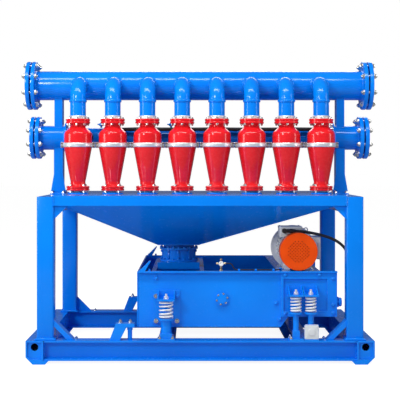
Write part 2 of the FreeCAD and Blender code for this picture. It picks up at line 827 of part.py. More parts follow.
def basket():
    """The shaker basket: a welded trough with top lips and corner clips, open at its right end."""
    def trough(inset, right, top):
        floor = basket_bottom + inset
        tail_floor = basket_tail_bottom + inset
        left = basket_left + inset
        outline = [
            (left, floor), (basket_tail_x - inset / 2, floor),
            (basket_tail_x + basket_tail_rise - inset / 2, tail_floor),
            (right, tail_floor), (right, top), (left, top),
        ]
        half = basket_half - inset
        corners = [Vector(x, -half, z) for x, z in outline]
        return extruded(corners, Vector(0, 2 * half, 0))

    shell = trough(0, basket_right, basket_top)
    shell = shell.cut(trough(basket_wall, basket_right + basket_wall, basket_top + basket_wall))
    lip_z = (basket_top - basket_wall, basket_top)
    lip = block((basket_left, basket_right), (-basket_half - basket_lip, -basket_half), lip_z)
    frame_z = (basket_tail_bottom, basket_top - basket_wall)
    frame_x = (basket_tail_x, basket_right)
    frame_y = (-basket_half - tail_frame_stand, -basket_half)
    frame = block(frame_x, frame_y, frame_z)
    window_x = (frame_x[0] + tail_frame_left, frame_x[1] - tail_frame_right)
    window_z = (frame_z[0] + tail_frame_bottom, frame_z[1] - tail_frame_top)
    frame = frame.cut(block(window_x, frame_y, window_z))
    sides = [lip, frame, basket_clip()]
    return joined([shell] + sides + [mirrored_y(piece) for piece in sides])


def screen_frame():
    """The screen panel inside the basket: a frame with open bays between its bars."""
    x_range = (basket_left + basket_wall, basket_right - screen_setback)
    y_range = (-basket_inner_half, basket_inner_half)
    z_range = (screen_z, screen_z + screen_thickness)
    panel = block(x_range, y_range, z_range)
    length = x_range[1] - x_range[0]
    columns = int(length // screen_pitch)
    pitch_x = (length - screen_bar) / columns
    pitch_y = (y_range[1] - y_range[0] - screen_bar) / screen_rows
    bays = []
    for column in range(columns):
        for row in range(screen_rows):
            start_x = x_range[0] + screen_bar + column * pitch_x
            start_y = y_range[0] + screen_bar + row * pitch_y
            bay_x = (start_x, start_x + pitch_x - screen_bar)
            bay_y = (start_y, start_y + pitch_y - screen_bar)
            bays.append(block(bay_x, bay_y, z_range))
    return panel.cut(Part.makeCompound(bays))


def feed_box():
    """The feed box under the hopper: a box open below, on two bars across the basket."""
    x_range = span(hopper_outlet_x, hopper_outlet_side)
    top = hopper_outlet_z - sleeve_height - sleeve_drop
    z_range = (top - feed_box_height, top)
    y_range = span(0, feed_box_depth)
    outer = block(x_range, y_range, z_range)
    wall = basket_wall
    inner = block(
        (x_range[0] + wall, x_range[1] - wall), (y_range[0] + wall, y_range[1] - wall),
        (z_range[0], top - wall))
    start = Vector(hopper_outlet_x, 0, top - wall)
    mouth = rod(sleeve_outer_d - 2 * neck_wall, start, Z_AXIS, wall)
    shell = outer.cut(inner).cut(mouth)
    bars = []
    for x in x_range:
        bar_x = span(x + math.copysign(feed_bar / 2, x - hopper_outlet_x), feed_bar)
        bar_y = (-basket_inner_half, basket_inner_half)
        bars.append(block(bar_x, bar_y, (z_range[0] - feed_bar / 2, z_range[0] + feed_bar / 2)))
    return joined([shell] + bars)


def feed_sleeve():
    """The flanged sleeve on the feed box, loosely around the hopper's neck."""
    bore = sleeve_outer_d / 2 - neck_wall
    wall = sleeve_outer_d / 2
    rim = sleeve_flange_d / 2
    step = sleeve_flange_thickness
    top = sleeve_height
    profile = [
        (bore, 0), (rim, 0), (rim, step), (wall, step), (wall, top - step), (rim, top - step),
        (rim, top), (bore, top),
    ]
    floor = hopper_outlet_z - sleeve_height - sleeve_drop
    return turned(profile, Vector(hopper_outlet_x, 0, floor))


def shaft_housing():
    """The tube across the basket for the eccentric shaft, with a bolted cap outside each wall."""
    start = Vector(bearing_cap_x, -basket_inner_half, bearing_cap_z)
    tube = pipe(shaft_tube_d, shaft_tube_wall, start, Y_AXIS, 2 * basket_inner_half)
    cap_start = Vector(bearing_cap_x, -basket_half - bearing_cap_height, bearing_cap_z)
    cap = rod(bearing_cap_d, cap_start, Y_AXIS, bearing_cap_height)
    return [tube, cap, mirrored_y(cap)]


def spring_places():
    """Each spring on the front side: its x, diameter, bottom, top and stand diameter."""
    places = [(spring_left_x, spring_left_d, spring_left_bottom, spring_left_top, spring_stand_left_d)]
    for x in spring_right_x:
        places.append((x, spring_right_d, spring_right_bottom, spring_right_top, spring_stand_right_d))
    return places


def spring_seat(x, diameter, top):
    """The bracket on the basket over one front spring: a shelf, two cheeks and a plate behind them."""
    width = diameter + 2 * seat_margin
    shelf_y = (-beam_y - diameter / 2 - seat_margin, -basket_half - seat_backing)
    shelf = block(span(x, width), shelf_y, (top, top + seat_thickness))
    cheeks = []
    for edge in (x - width / 2, x + width / 2 - seat_cheek):
        corners = [
            Vector(edge, shelf_y[0], top + seat_thickness), Vector(edge, shelf_y[1], top + seat_thickness),
            Vector(edge, shelf_y[1], top + seat_thickness + seat_cheek_height),
        ]
        cheeks.append(extruded(corners, X_AXIS * seat_cheek))
    alone = x == spring_left_x
    drop = doubler_drop if alone else seat_backing_drop
    margin = doubler_margin if alone else 0
    backing_z = (top - drop, top + seat_thickness + seat_cheek_height)
    backing = block(span(x, width + 2 * margin), (-basket_half - seat_backing, -basket_half), backing_z)
    return joined([shelf, backing] + cheeks)


def stand_box():
    """The grey junction box in front of the last stand on the right."""
    y_range = (-beam_y - skid_beam_width / 2, -beam_y - (spring_stand_right_d + seat_margin) / 2 - seat_gap)
    x_range = span(spring_right_x[-1], stand_box_side)
    box_z = skid_top + foot_plate_thickness + seat_gap
    return block(x_range, y_range, (box_z, box_z + stand_box_side))


def basket_stop():
    """The front stop: a leaning leg on the skid beam, and a flat head that faces the basket's left end."""
    end_x = basket_left - stop_gap
    start_x = end_x - stop_length
    foot_x = start_x - stop_lean
    edge = stop_plate
    outline = [
        (foot_x, skid_top), (foot_x + stop_width, skid_top), (start_x + stop_width, stop_top - 2 * edge),
        (end_x, stop_top - 2 * edge), (end_x, stop_top), (start_x, stop_top),
    ]
    start_y = -beam_y - stop_width / 2
    return extruded([Vector(x, start_y, z) for x, z in outline], Vector(0, stop_width, 0))


def basket_clip():
    """The front clip on the basket's top left corner: a leaning plate between two ribs."""
    start_x = basket_left + clip_thickness
    low = basket_top
    outline = [
        (start_x, low), (start_x + clip_length / 2, low), (start_x + clip_length, low + clip_height),
        (start_x + clip_length - clip_thickness, low + clip_height),
    ]
    plate = [outline[0], (start_x + 1.5 * clip_thickness, low), outline[2], outline[3]]
    back_y = -basket_half + basket_wall
    start_y = -basket_half - basket_lip
    leaf = extruded([Vector(x, start_y, z) for x, z in plate], Vector(0, back_y - start_y, 0))
    ribs = []
    for y in (start_y, back_y - clip_thickness):
        ribs.append(extruded([Vector(x, y, z) for x, z in outline], Vector(0, clip_thickness, 0)))
    return joined([leaf] + ribs)


def spring_stand(x, diameter, floor, stand_d):
    """The stand on the skid beam under one front spring: a footed block, a column and a round seat."""
    block_top = floor - seat_thickness - stand_column_share * (floor - skid_top)
    foot_z = (skid_top, skid_top + foot_plate_thickness)
    foot = block(span(x, diameter + 2 * seat_margin), span(-beam_y, skid_beam_width), foot_z)
    body = block(span(x, stand_d + seat_margin), span(-beam_y, stand_d + seat_margin), (skid_top, block_top))
    start = Vector(x, -beam_y, block_top)
    column = rod(stand_d, start, Z_AXIS, floor - seat_thickness - block_top)
    seat = rod(diameter + seat_margin, Vector(x, -beam_y, floor - seat_thickness), Z_AXIS, seat_thickness)
    return joined([foot, body, column, seat])


def coil(x, diameter, floor, top):
    """One coil spring, between its stand and its seat on the basket."""
    mean_radius = (diameter - spring_wire_d) / 2
    rise = top - seat_gap - floor - spring_wire_d
    helix = Part.makeHelix(rise / spring_turns, rise, mean_radius)
    half = spring_wire_d / 2
    section = [
        Vector(mean_radius - half, 0, 0), Vector(mean_radius, 0, -half),
        Vector(mean_radius + half, 0, 0), Vector(mean_radius, 0, half),
    ]
    ring = Part.makePolygon(section + [section[0]])
    spring = Part.Wire(helix).makePipeShell([ring], True, True)
    spring.translate(Vector(x, -beam_y, floor + spring_wire_d / 2))
    return spring


def motor_body():
    """The motor: a barrel along Y with fins behind a plain end, an end flange, a lifting eye and two feet."""
    core_d = motor_body_d - 2 * motor_fin_height
    start = Vector(motor_x, motor_back, motor_axis_z)
    core = rod(core_d, start, Y_AXIS, motor_body_length)
    fins = []
    for step in range(motor_fin_count):
        fin_y = (motor_fin_setback, motor_body_length)
        fin = block(span(0, motor_fin_thickness), fin_y, (0, motor_body_d / 2))
        fin.rotate(Vector(0, 0, 0), Y_AXIS, 360 * (step + 0.5) / motor_fin_count)
        fin.translate(start)
        fins.append(fin)
    flange_start = start + Y_AXIS * motor_body_length
    flange = rod(motor_flange_d, flange_start, Y_AXIS, motor_flange_thickness)
    feet = []
    for sign in (-1, 1):
        foot_x = span(motor_x + sign * motor_foot_spread / 2, motor_foot_width)
        foot_y = (motor_back + motor_foot_setback, motor_back + motor_foot_setback + motor_foot_length)
        feet.append(block(foot_x, foot_y, (basket_top, motor_axis_z - core_d * motor_foot_reach)))
    lean = math.radians(eyebolt_lean)
    out = Vector(math.sin(lean), 0, math.cos(lean))
    eye_y = motor_back + motor_foot_setback + terminal_box_depth + eyebolt_setback
    seat = Vector(motor_x, eye_y, motor_axis_z) + out * (motor_body_d / 2 - motor_fin_height)
    ring_height = motor_fin_height + eyebolt_lift
    neck = rod(eyebolt_neck_d, seat, out, ring_height - eyebolt_ring)
    ring = Part.makeTorus(eyebolt_ring, eyebolt_wire, seat + out * ring_height, Y_AXIS)
    return joined([core, flange, neck, ring] + fins + feet)


def motor_plate():
    """The plate across the basket that carries the motor, with a slot under the motor's flange."""
    plate = block(
        span(motor_x, motor_plate_width), (-basket_inner_half, basket_inner_half),
        (basket_top - motor_plate_thickness, basket_top))
    flange_start = Vector(motor_x, motor_back + motor_body_length - running_gap, motor_axis_z)
    slot = rod(
        motor_flange_d + 2 * running_gap, flange_start, Y_AXIS, motor_flange_thickness + 2 * running_gap)
    return plate.cut(slot)


def motor_fan_cover():
    """The fan cover: a pressed cup on the front of the motor, with a field of air holes in its face."""
    start = Vector(motor_x, motor_front, motor_axis_z)
    cup = rod(motor_cover_d, start, Y_AXIS, motor_cover_length)
    inside_start = start + Y_AXIS * motor_cover_wall
    inside_d = motor_cover_d - 2 * motor_cover_wall
    cup = cup.cut(rod(inside_d, inside_start, Y_AXIS, motor_cover_length))
    back = rod(inside_d, start + Y_AXIS * (motor_cover_length - motor_cover_wall), Y_AXIS, motor_cover_wall)
    holes = []
    reach = int(motor_grille_d / 2 // motor_grille_pitch)
    for column in range(-reach, reach + 1):
        for row in range(-reach, reach + 1):
            x = column * motor_grille_pitch
            z = row * motor_grille_pitch
            in_field = math.hypot(x, z) <= motor_grille_d / 2
            if in_field and (column + row) % 2 == 0:
                holes.append(block(
                    span(motor_x + x, motor_grille_hole), (motor_front, motor_front + motor_cover_wall),
                    span(motor_axis_z + z, motor_grille_hole)))
    return joined([cup, back]).cut(Part.makeCompound(holes))


def terminal_boxes():
    """The motor's two connection boxes: one on top of the barrel and one on its right side."""
    middle_y = motor_back + motor_foot_setback + terminal_box_depth / 2
    top_z = motor_axis_z + motor_body_d / 2 + terminal_box_stand
    top_box = block(
        span(motor_x + terminal_box_shift, terminal_box_width), span(middle_y, terminal_box_depth),
        (top_z - terminal_box_height, top_z))
    side_x = motor_x + motor_body_d / 2 + terminal_box_stand
    side_box = block(
        (side_x - terminal_box_height, side_x), span(middle_y, terminal_box_depth),
        span(motor_axis_z + terminal_box_rise, terminal_box_width))
    barrel_start = Vector(motor_x, motor_back, motor_axis_z)
    barrel = rod(motor_body_d + 2 * seat_gap, barrel_start, Y_AXIS, motor_body_length)
    return [top_box.cut(barrel), side_box.cut(barrel)]


def gland_centre():
    """Where the two arms of the elbow gland cross."""
    box_front = motor_back + motor_foot_setback
    box_left = motor_x + terminal_box_shift - terminal_box_width / 2
    box_top = motor_axis_z + motor_body_d / 2 + terminal_box_stand
    return Vector(box_left + gland_inset, box_front - gland_stand, box_top - gland_drop)


def motor_gland():
    """The elbow gland on the front of the motor's top box."""
    centre = gland_centre()
    boss_length = gland_stand + gland_boss_d / 2
    boss = rod(gland_boss_d, centre + Y_AXIS * gland_stand, Y_AXIS * -1, boss_length)
    arm = rod(gland_arm_d, centre, X_AXIS, gland_arm_length)
    return joined([boss, arm])


def grommet_centre():
    """The outer end of the grommet on the rear face of the right front post."""
    return Vector(cable_route[-1][0], -post_inner_y + grommet_length, grommet_z)


def cable_grommet():
    """The grommet that takes the cable into the right front post."""
    return rod(grommet_d, grommet_centre(), Y_AXIS * -1, grommet_length)


def round_line(points, diameter, name):
    """A cable or hose: straight runs between the points of its route, joined by tangent arcs."""
    edges = []
    last = points[0]
    for before, corner, after in zip(points, points[1:], points[2:]):
        to_before = (before - corner).normalize()
        to_after = (after - corner).normalize()
        half_turn = (math.pi - to_before.getAngle(to_after)) / 2
        setback = arc_share * min((before - corner).Length, (after - corner).Length)
        radius = setback / math.tan(half_turn)
        print("%s arc radius %.0f mm" % (name, radius))
        arc_start = corner + to_before * setback
        arc_end = corner + to_after * setback
        middle = (to_before + to_after).normalize()
        arc_middle = corner + middle * (radius / math.cos(half_turn) - radius)
        edges.append(Part.LineSegment(last, arc_start).toShape())
        edges.append(Part.Arc(arc_start, arc_middle, arc_end).toShape())
        last = arc_end
    edges.append(Part.LineSegment(last, points[-1]).toShape())
    path = Part.Wire(edges)
    section = Part.Wire(Part.makeCircle(diameter / 2, points[0], points[1] - points[0]))
    tube = path.makePipeShell([section], True, True)
    print("%s length %.0f mm, tube volume over section times length %.4f" % (
        name, path.Length, tube.Volume / (math.pi * diameter ** 2 / 4 * path.Length)))
    return tube


def motor_cable():
    """The motor's cable, from its gland to the grommet."""
    start = gland_centre() + X_AXIS * gland_arm_length
    end = grommet_centre() + Y_AXIS * seat_gap
    middle = [Vector(*point) for point in cable_route]
    return round_line([start, start + X_AXIS * cable_lead] + middle + [end], cable_d, "cable")


def manifold_hose():
    """The hose that lies on the inlet couplings, from the left valve to the right ring plate."""
    rest_z = feed_header_z + inlet_outer_d / 2 + coupling_wall + seat_gap + hose_d / 2 + hose_rise
    start = Vector(valve_x[0] + valve_side / 2 + seat_gap, valve_y, valve_top - hose_d / 2)
    ring_face = ring_plate_x - ring_plate_thickness
    end = Vector(ring_face - seat_gap, cyclone_y + inlet_reach, rest_z)
    middle = [Vector(x, y, rest_z + rise) for x, y, rise in hose_route]
    route = [start, start + X_AXIS * hose_lead] + middle + [end - X_AXIS * hose_lead, end]
    return round_line(route, hose_d, "hose")


os.makedirs("parts", exist_ok=True)

cyclone_indices = range(cyclone_count)
front_post = post()
left_end = skid_end()
front_beam = skid_beam()
save("skid_end_left", [left_end])
save("skid_end_right", [mirrored_x(left_end)])
save("skid_beam_front", [front_beam])
save("skid_beam_rear", [mirrored_y(front_beam)])
right_springs_x = sum(spring_right_x) / len(spring_right_x)
save("cross_beams", [cross_beam(spring_left_x), cross_beam(right_springs_x)])
save("posts_front", [front_post, mirrored_x(front_post)])
rear_post = mirrored_y(front_post)
save("posts_rear", [rear_post, mirrored_x(rear_post)])

rail_z = (frame_top - rail_height, frame_top)
front_rail = square_tube(
    (-post_inner_x, post_inner_x), (-post_outer_y, -post_outer_y + rail_width), rail_z, post_wall, "x")
save("top_rails", [front_rail, mirrored_y(front_rail)])
left_rail = square_tube(
    (-post_outer_x, -post_inner_x), (-post_inner_y, post_inner_y),
    (frame_top - side_rail_height, frame_top), post_wall, "y")
save("side_rails", [left_rail, mirrored_x(left_rail)])
left_brace = front_brace()
save("front_braces", [left_brace, mirrored_x(left_brace)])
save("corner_gussets", gussets())

save("hopper", [hopper()])
save("hopper_deck", [hopper_deck()])
save("underflow_collars", [underflow_collar(index) for index in cyclone_indices])
lower_strut = feed_header_support()
save("feed_header_supports", [lower_strut, mirrored_x(lower_strut)])
upper_strut = overflow_header_support()
save("overflow_header_supports", [upper_strut, mirrored_x(upper_strut)])
save("overflow_header", [overflow_header()])
save("feed_header", [feed_header()])
save("overflow_end_flanges", end_flanges(
    overflow_flange_d, overflow_flange_pcd, overflow_header_length, overflow_header_z,
    overflow_header_d - header_wall))
save("feed_end_flanges", end_flanges(
    feed_flange_d, feed_flange_pcd, feed_header_length, feed_header_z, feed_end_d - header_wall))
save("flange_gaskets", gaskets())
save("flange_studs", flange_studs())
save("overflow_pipes", [overflow_pipe(index) for index in cyclone_indices])

for index in cyclone_indices:
    save("cyclone_head_%d" % (index + 1), [cyclone_head(index)])
    save("cyclone_cone_%d" % (index + 1), [cyclone_cone(index)])
clamp_halves = []
for index in cyclone_indices:
    clamp_halves += cyclone_clamp(index).Solids
save("cyclone_clamps", clamp_halves)
save("apex_nozzles", [apex_nozzle(index) for index in cyclone_indices])
save("joint_plates", [joint_plate(index) for index in cyclone_indices])
save("inlet_couplings", [inlet_coupling(index) for index in cyclone_indices])

save("shaker_basket", [basket()])
save("screen_frame", [screen_frame()])
save("feed_box", [feed_box()])
save("feed_sleeve", [feed_sleeve()])
save("shaft_housing", shaft_housing())
seats = []
stands = []
coils = []
for x, diameter, floor, top, stand_d in spring_places():
    seat = spring_seat(x, diameter, top)
    stand = spring_stand(x, diameter, floor, stand_d)
    spring = coil(x, diameter, floor, top)
    seats += [seat, mirrored_y(seat)]
    stands += [stand, mirrored_y(stand)]
    coils.append([spring, mirrored_y(spring)])
save("spring_seats", seats)
stop = basket_stop()
save("spring_stands", stands + [stand_box(), stop, mirrored_y(stop)])
save("springs_left", coils[0])
save("springs_right", coils[1] + coils[2])

save("motor_plate", [motor_plate()])
save("motor_body", [motor_body()])
save("motor_fan_cover", [motor_fan_cover()])
save("terminal_boxes", terminal_boxes())
save("motor_gland", [motor_gland()])
save("cable_grommet", [cable_grommet()])
save("motor_cable", [motor_cable()])
save("manifold_hose", [manifold_hose()])
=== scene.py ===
"""A desilter: hydrocyclones between two headers, a hopper and a spring-borne shaker, on a welded skid."""

import math

import bmesh
import bpy
import numpy as np
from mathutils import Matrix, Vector


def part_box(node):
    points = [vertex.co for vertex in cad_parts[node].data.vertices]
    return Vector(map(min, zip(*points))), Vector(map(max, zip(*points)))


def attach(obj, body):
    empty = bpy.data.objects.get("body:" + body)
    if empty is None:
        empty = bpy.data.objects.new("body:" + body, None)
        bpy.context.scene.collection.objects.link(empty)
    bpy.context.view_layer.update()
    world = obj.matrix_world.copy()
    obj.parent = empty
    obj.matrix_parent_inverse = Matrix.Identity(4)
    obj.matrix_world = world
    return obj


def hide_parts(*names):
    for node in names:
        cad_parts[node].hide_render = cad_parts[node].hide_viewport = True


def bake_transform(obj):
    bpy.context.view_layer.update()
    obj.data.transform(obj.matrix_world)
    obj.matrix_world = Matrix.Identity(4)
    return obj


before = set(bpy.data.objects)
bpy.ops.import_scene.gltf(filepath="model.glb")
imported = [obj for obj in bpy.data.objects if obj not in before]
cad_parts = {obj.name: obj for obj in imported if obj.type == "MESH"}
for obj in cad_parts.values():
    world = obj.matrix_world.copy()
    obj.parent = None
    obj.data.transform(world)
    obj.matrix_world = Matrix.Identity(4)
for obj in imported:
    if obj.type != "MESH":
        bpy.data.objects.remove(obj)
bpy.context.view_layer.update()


# Camera: level and square to the machine, just left of its middle and two thirds of its height up.
# A long lens stands back about six metres, and its shift puts the skid low in the frame.
image_px = 400
focal_px = 1032
vanishing_px = (192, 168)
film_mm = 36.0
camera_data = bpy.data.cameras.new("studio_camera")
camera_data.sensor_width = film_mm
camera_data.lens = film_mm * focal_px / image_px
camera_data.shift_x = (image_px / 2 - vanishing_px[0]) / image_px
camera_data.shift_y = (vanishing_px[1] - image_px / 2) / image_px
camera = bpy.data.objects.new("studio_camera", camera_data)
camera.location = (-0.043, -6.033, 1.033)
camera.rotation_euler = (math.pi / 2, 0, 0)
bpy.context.scene.collection.objects.link(camera)
bpy.context.scene.camera = camera


# Studio: a pale floor that keeps a soft shadow, a white world behind it, and broad soft lamps above, in
# front, behind and at both sides. Floor and world are white to the camera and dimmer in reflections.
class Signal:
    """A socket that takes plain arithmetic: each operator adds the Math node of its name."""

    def __init__(self, nodes, socket):
        self.nodes = nodes
        self.socket = socket

    def maths(self, operation, *values):
        return self.nodes.add("ShaderNodeMath", {"operation": operation}, dict(enumerate(values)))

    def __add__(self, other):
        return self.maths("ADD", self, other)

    def __sub__(self, other):
        return self.maths("SUBTRACT", self, other)

    def __mul__(self, other):
        return self.maths("MULTIPLY", self, other)

    def __rsub__(self, other):
        return self.maths("SUBTRACT", other, self)

    __radd__ = __add__
    __rmul__ = __mul__

    def clipped(self, low, high):
        """The value spread so that low becomes 0 and high becomes 1, and held between them."""
        spread = {0: self, 1: low, 2: high, 3: 0.0, 4: 1.0}
        return self.nodes.add("ShaderNodeMapRange", {"clamp": True}, spread)


class Nodes:
    """A shader in its node tree, and the nodes that feed it."""

    def __init__(self, tree, shader):
        self.tree = tree
        self.shader = tree.nodes[shader]

    def feed(self, socket, value):
        if isinstance(value, Signal):
            self.tree.links.new(value.socket, socket)
        else:
            socket.default_value = value

    def set(self, name, value):
        self.feed(self.shader.inputs[name], value)

    def add(self, kind, settings=None, sockets=None, output=0):
        node = self.tree.nodes.new(kind)
        for key, value in (settings or {}).items():
            setattr(node, key, value)
        for key, value in (sockets or {}).items():
            self.feed(node.inputs[key], value)
        return Signal(self, node.outputs[output])

    def ray(self, kind):
        """1 for rays of one kind, such as Camera, and 0 for all others."""
        return self.add("ShaderNodeLightPath", output="Is %s Ray" % kind)


class Finish(Nodes):
    """One material: its Principled shader, and a slot name, which is kept but not used."""

    def __init__(self, name, colour, roughness, metallic=0.0, coat=0.0, slot=None):
        self.slot = slot
        self.material = bpy.data.materials.new(name)
        self.material.use_nodes = True
        super().__init__(self.material.node_tree, "Principled BSDF")
        self.place = self.add("ShaderNodeTexCoord", output="Object")
        self.set("Base Color", (*colour, 1.0))
        self.set("Roughness", roughness)
        self.set("Metallic", metallic)
        self.set("Coat Weight", coat)
        self.set("Coat Roughness", 0.04)

    def noise(self, scale, detail=2.0):
        """Cloudy noise of so many blobs a metre."""
        return self.add("ShaderNodeTexNoise", None, {"Vector": self.place, "Scale": scale, "Detail": detail})

    def mixed(self, share, first, second):
        """The first colour where the share is 0 and the second where it is 1."""
        return self.add("ShaderNodeMix", {"data_type": "RGBA"}, {0: share, 6: first, 7: second}, output=2)

    def shades(self, cloud, first, second, low=0.3, high=0.7):
        """Two shades that run into each other: the first where the cloud is low, the second where high."""
        return self.mixed(cloud.clipped(low, high), (*first, 1.0), (*second, 1.0))

    def rounded_edges(self, radius):
        """The surface's normal with its sharp edges rounded off."""
        return self.add("ShaderNodeBevel", {"samples": 4}, {"Radius": radius})

    def bumped(self, height, depth, normal=None):
        sockets = {"Height": height, "Distance": depth}
        if normal is not None:
            sockets["Normal"] = normal
        self.set("Normal", self.add("ShaderNodeBump", None, sockets))


floor_half = 30.0
floor_front = -8.0
floor_back = 52.0
floor_mesh = bpy.data.meshes.new("floor")
floor_corners = [
    (-floor_half, floor_front, 0), (floor_half, floor_front, 0), (floor_half, floor_back, 0),
    (-floor_half, floor_back, 0)]
floor_mesh.from_pydata(floor_corners, [], [(0, 1, 2, 3)])
floor = bpy.data.objects.new("floor", floor_mesh)
bpy.context.scene.collection.objects.link(floor)
floor_finish = Finish("floor_paper", (0.86, 0.86, 0.87), 0.9)
floor_seen = floor_finish.ray("Camera")
floor_glossy = floor_finish.ray("Glossy")
floor_finish.set("Emission Color", (1.0, 1.0, 1.0, 1.0))
floor_finish.set("Emission Strength", floor_seen * 0.92 + floor_glossy * 0.05)
floor_dim = (floor_seen + floor_glossy).clipped(0.0, 1.0)
floor_finish.set("Base Color", floor_finish.mixed(floor_dim, (0.72, 0.72, 0.73, 1), (0.26, 0.26, 0.26, 1)))
floor_mesh.materials.append(floor_finish.material)

world_light = 0.27
world_seen = 1.0
world_gloss_cut = 0.15
world = bpy.data.worlds.new("studio_world")
world.use_nodes = True
sky = Nodes(world.node_tree, "Background")
sky.set("Color", (1.0, 1.0, 1.0, 1.0))
sky_gloss = sky.ray("Glossy") * world_gloss_cut
sky.set("Strength", sky.ray("Camera") * (world_seen - world_light) + world_light - sky_gloss)
bpy.context.scene.world = world
bpy.context.scene.view_settings.view_transform = "Standard"


def soft_lamp(name, place, aim_height, size, watts):
    """A rectangular studio lamp at a place, turned to a point on the machine's upright middle line."""
    lamp = bpy.data.lights.new(name, "AREA")
    lamp.shape = "RECTANGLE"
    lamp.size, lamp.size_y = size
    lamp.energy = watts
    stand = bpy.data.objects.new(name, lamp)
    stand.location = place
    heading = Vector((0, 0, aim_height)) - Vector(place)
    stand.rotation_euler = heading.to_track_quat("-Z", "Y").to_euler()
    bpy.context.scene.collection.objects.link(stand)


soft_lamp("lamp_top_front", (-0.4, -2.4, 4.4), 0.9, (5.0, 0.7), 140)
soft_lamp("lamp_front", (-3.0, -5.0, 3.1), 0.8, (1.0, 1.0), 112)
soft_lamp("lamp_left", (-4.4, -1.8, 1.6), 0.8, (1.0, 2.6), 56)
soft_lamp("lamp_right", (4.4, -1.4, 1.9), 0.8, (0.8, 2.6), 30)
soft_lamp("lamp_back", (0.5, 4.0, 3.4), 0.9, (4.0, 1.2), 60)


# Skid: two rolled beams between hollow end members with lifting eyes, all welded plate in a glossy
# blue enamel, which is sprayed thick, so it has a faint orange peel and rounds every edge.
blue = Finish("blue_enamel", (0.0, 0.215, 0.86), 0.3, coat=0.5, slot="blue_paint")
blue.set("Coat Roughness", 0.12)
blue.set("Specular IOR Level", 0.08)
blue_shade = blue.shades(blue.noise(2.6), (0.0, 0.195, 0.80), (0.0, 0.235, 0.90))
blue_edge = blue.rounded_edges(0.0022)
blue_flat = blue.add("ShaderNodeNewGeometry", output="Normal")
blue_round = blue.add(
    "ShaderNodeVectorMath", {"operation": "DOT_PRODUCT"}, {0: blue_edge, 1: blue_flat}, output=1)
# Painted highlight: the colour turns a lighter blue along every rounded edge, where light would catch it.
blue_edge_highlight = (1.0 - blue_round).clipped(0.03, 0.3) * 0.35
blue.set("Base Color", blue.mixed(blue_edge_highlight, blue_shade, (0.16, 0.50, 0.98, 1)))
blue_dust = blue.noise(46.0, 6.0).clipped(0.55, 0.8)
blue.set("Roughness", blue_dust * 0.1 + 0.24)
blue.bumped(blue.noise(190.0), 0.00012, blue_edge)


def painted(names, finish):
    """The finish goes on whole CAD nodes as they are."""
    for name in names:
        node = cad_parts[name]
        node.data.materials.clear()
        node.data.materials.append(finish.material)


painted(["skid_end_left", "skid_end_right", "skid_beam_front", "skid_beam_rear", "cross_beams"], blue)


def shell(name, patches, finish, body="frame", stands_for=(), sharp=34.0):
    """One mesh of grid patches, each (points[row, column], rows closed, columns closed). Cell (i, j) is the
    quad of points (i, j), (i, j+1), (i+1, j+1) and (i+1, j). Doubles at poles are merged, and faces turned
    outwards. An edge sharper than so many degrees stays sharp. A piece with no body is joined to none."""
    places = []
    quads = []
    start = 0
    for grid, rows_closed, columns_closed in patches:
        rows, columns = grid.shape[:2]
        index = start + np.arange(rows * columns).reshape(rows, columns)
        if rows_closed:
            index = np.vstack([index, index[:1]])
        if columns_closed:
            index = np.hstack([index, index[:, :1]])
        cells = np.stack([index[:-1, :-1], index[:-1, 1:], index[1:, 1:], index[1:, :-1]], axis=-1)
        quads.append(cells.reshape(-1, 4))
        places.append(grid.reshape(-1, 3))
        start += rows * columns
    places = np.vstack(places).astype(np.float32)
    quads = np.vstack(quads).astype(np.int32)
    mesh = bpy.data.meshes.new(name)
    mesh.vertices.add(len(places))
    mesh.vertices.foreach_set("co", places.ravel())
    mesh.loops.add(quads.size)
    mesh.loops.foreach_set("vertex_index", quads.ravel())
    mesh.polygons.add(len(quads))
    mesh.polygons.foreach_set("loop_start", np.arange(0, quads.size, 4, dtype=np.int32))
    mesh.update(calc_edges=True)
    cleaner = bmesh.new()
    cleaner.from_mesh(mesh)
    bmesh.ops.remove_doubles(cleaner, verts=cleaner.verts, dist=2e-6)
    bmesh.ops.dissolve_degenerate(cleaner, edges=cleaner.edges, dist=1e-6)
    bmesh.ops.recalc_face_normals(cleaner, faces=cleaner.faces)
    cleaner.to_mesh(mesh)
    cleaner.free()
    mesh.shade_smooth()
    mesh.set_sharp_from_angle(angle=math.radians(sharp))
    mesh.materials.append(finish.material)
    piece = bpy.data.objects.new(name, mesh)
    bpy.context.scene.collection.objects.link(piece)
    if body:
        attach(piece, body)
    if stands_for:
        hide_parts(*stands_for)
    return piece


def axes_of(axis):
    """Two unit directions square to an axis and to each other."""
    axis = np.asarray(axis, float)
    guide = np.array((0.0, 0.0, 1.0)) if abs(axis[2]) < 0.9 else np.array((1.0, 0.0, 0.0))
    side = np.cross(guide, axis)
    side /= np.linalg.norm(side)
    return side, np.cross(axis, side)


def circle(radius, count=10):
    """Points round a circle."""
    angle = np.linspace(0, 2 * np.pi, count, endpoint=False)
    return radius * np.stack([np.cos(angle), np.sin(angle)], axis=1)


def carried(section, path, closed_path=False):
    """A flat section carried along a path: point j of the section at place i is path[i] + x * side[i] +
    y * up[i], with side and up turned the least from one place to the next."""
    path = np.asarray(path, float)
    section = np.asarray(section, float)
    if closed_path:
        heading = np.roll(path, -1, axis=0) - np.roll(path, 1, axis=0)
    else:
        heading = np.gradient(path, axis=0)
    heading /= np.linalg.norm(heading, axis=1, keepdims=True)
    side, up = axes_of(heading[0])
    sides = [side]
    for step in heading[1:]:
        side = side - step * np.dot(side, step)
        side = side / np.linalg.norm(side)
        sides.append(side)
    sides = np.array(sides)
    ups = np.cross(heading, sides)
    grid = path[:, None] + section[None, :, 0:1] * sides[:, None] + section[None, :, 1:2] * ups[:, None]
    return grid, closed_path, True


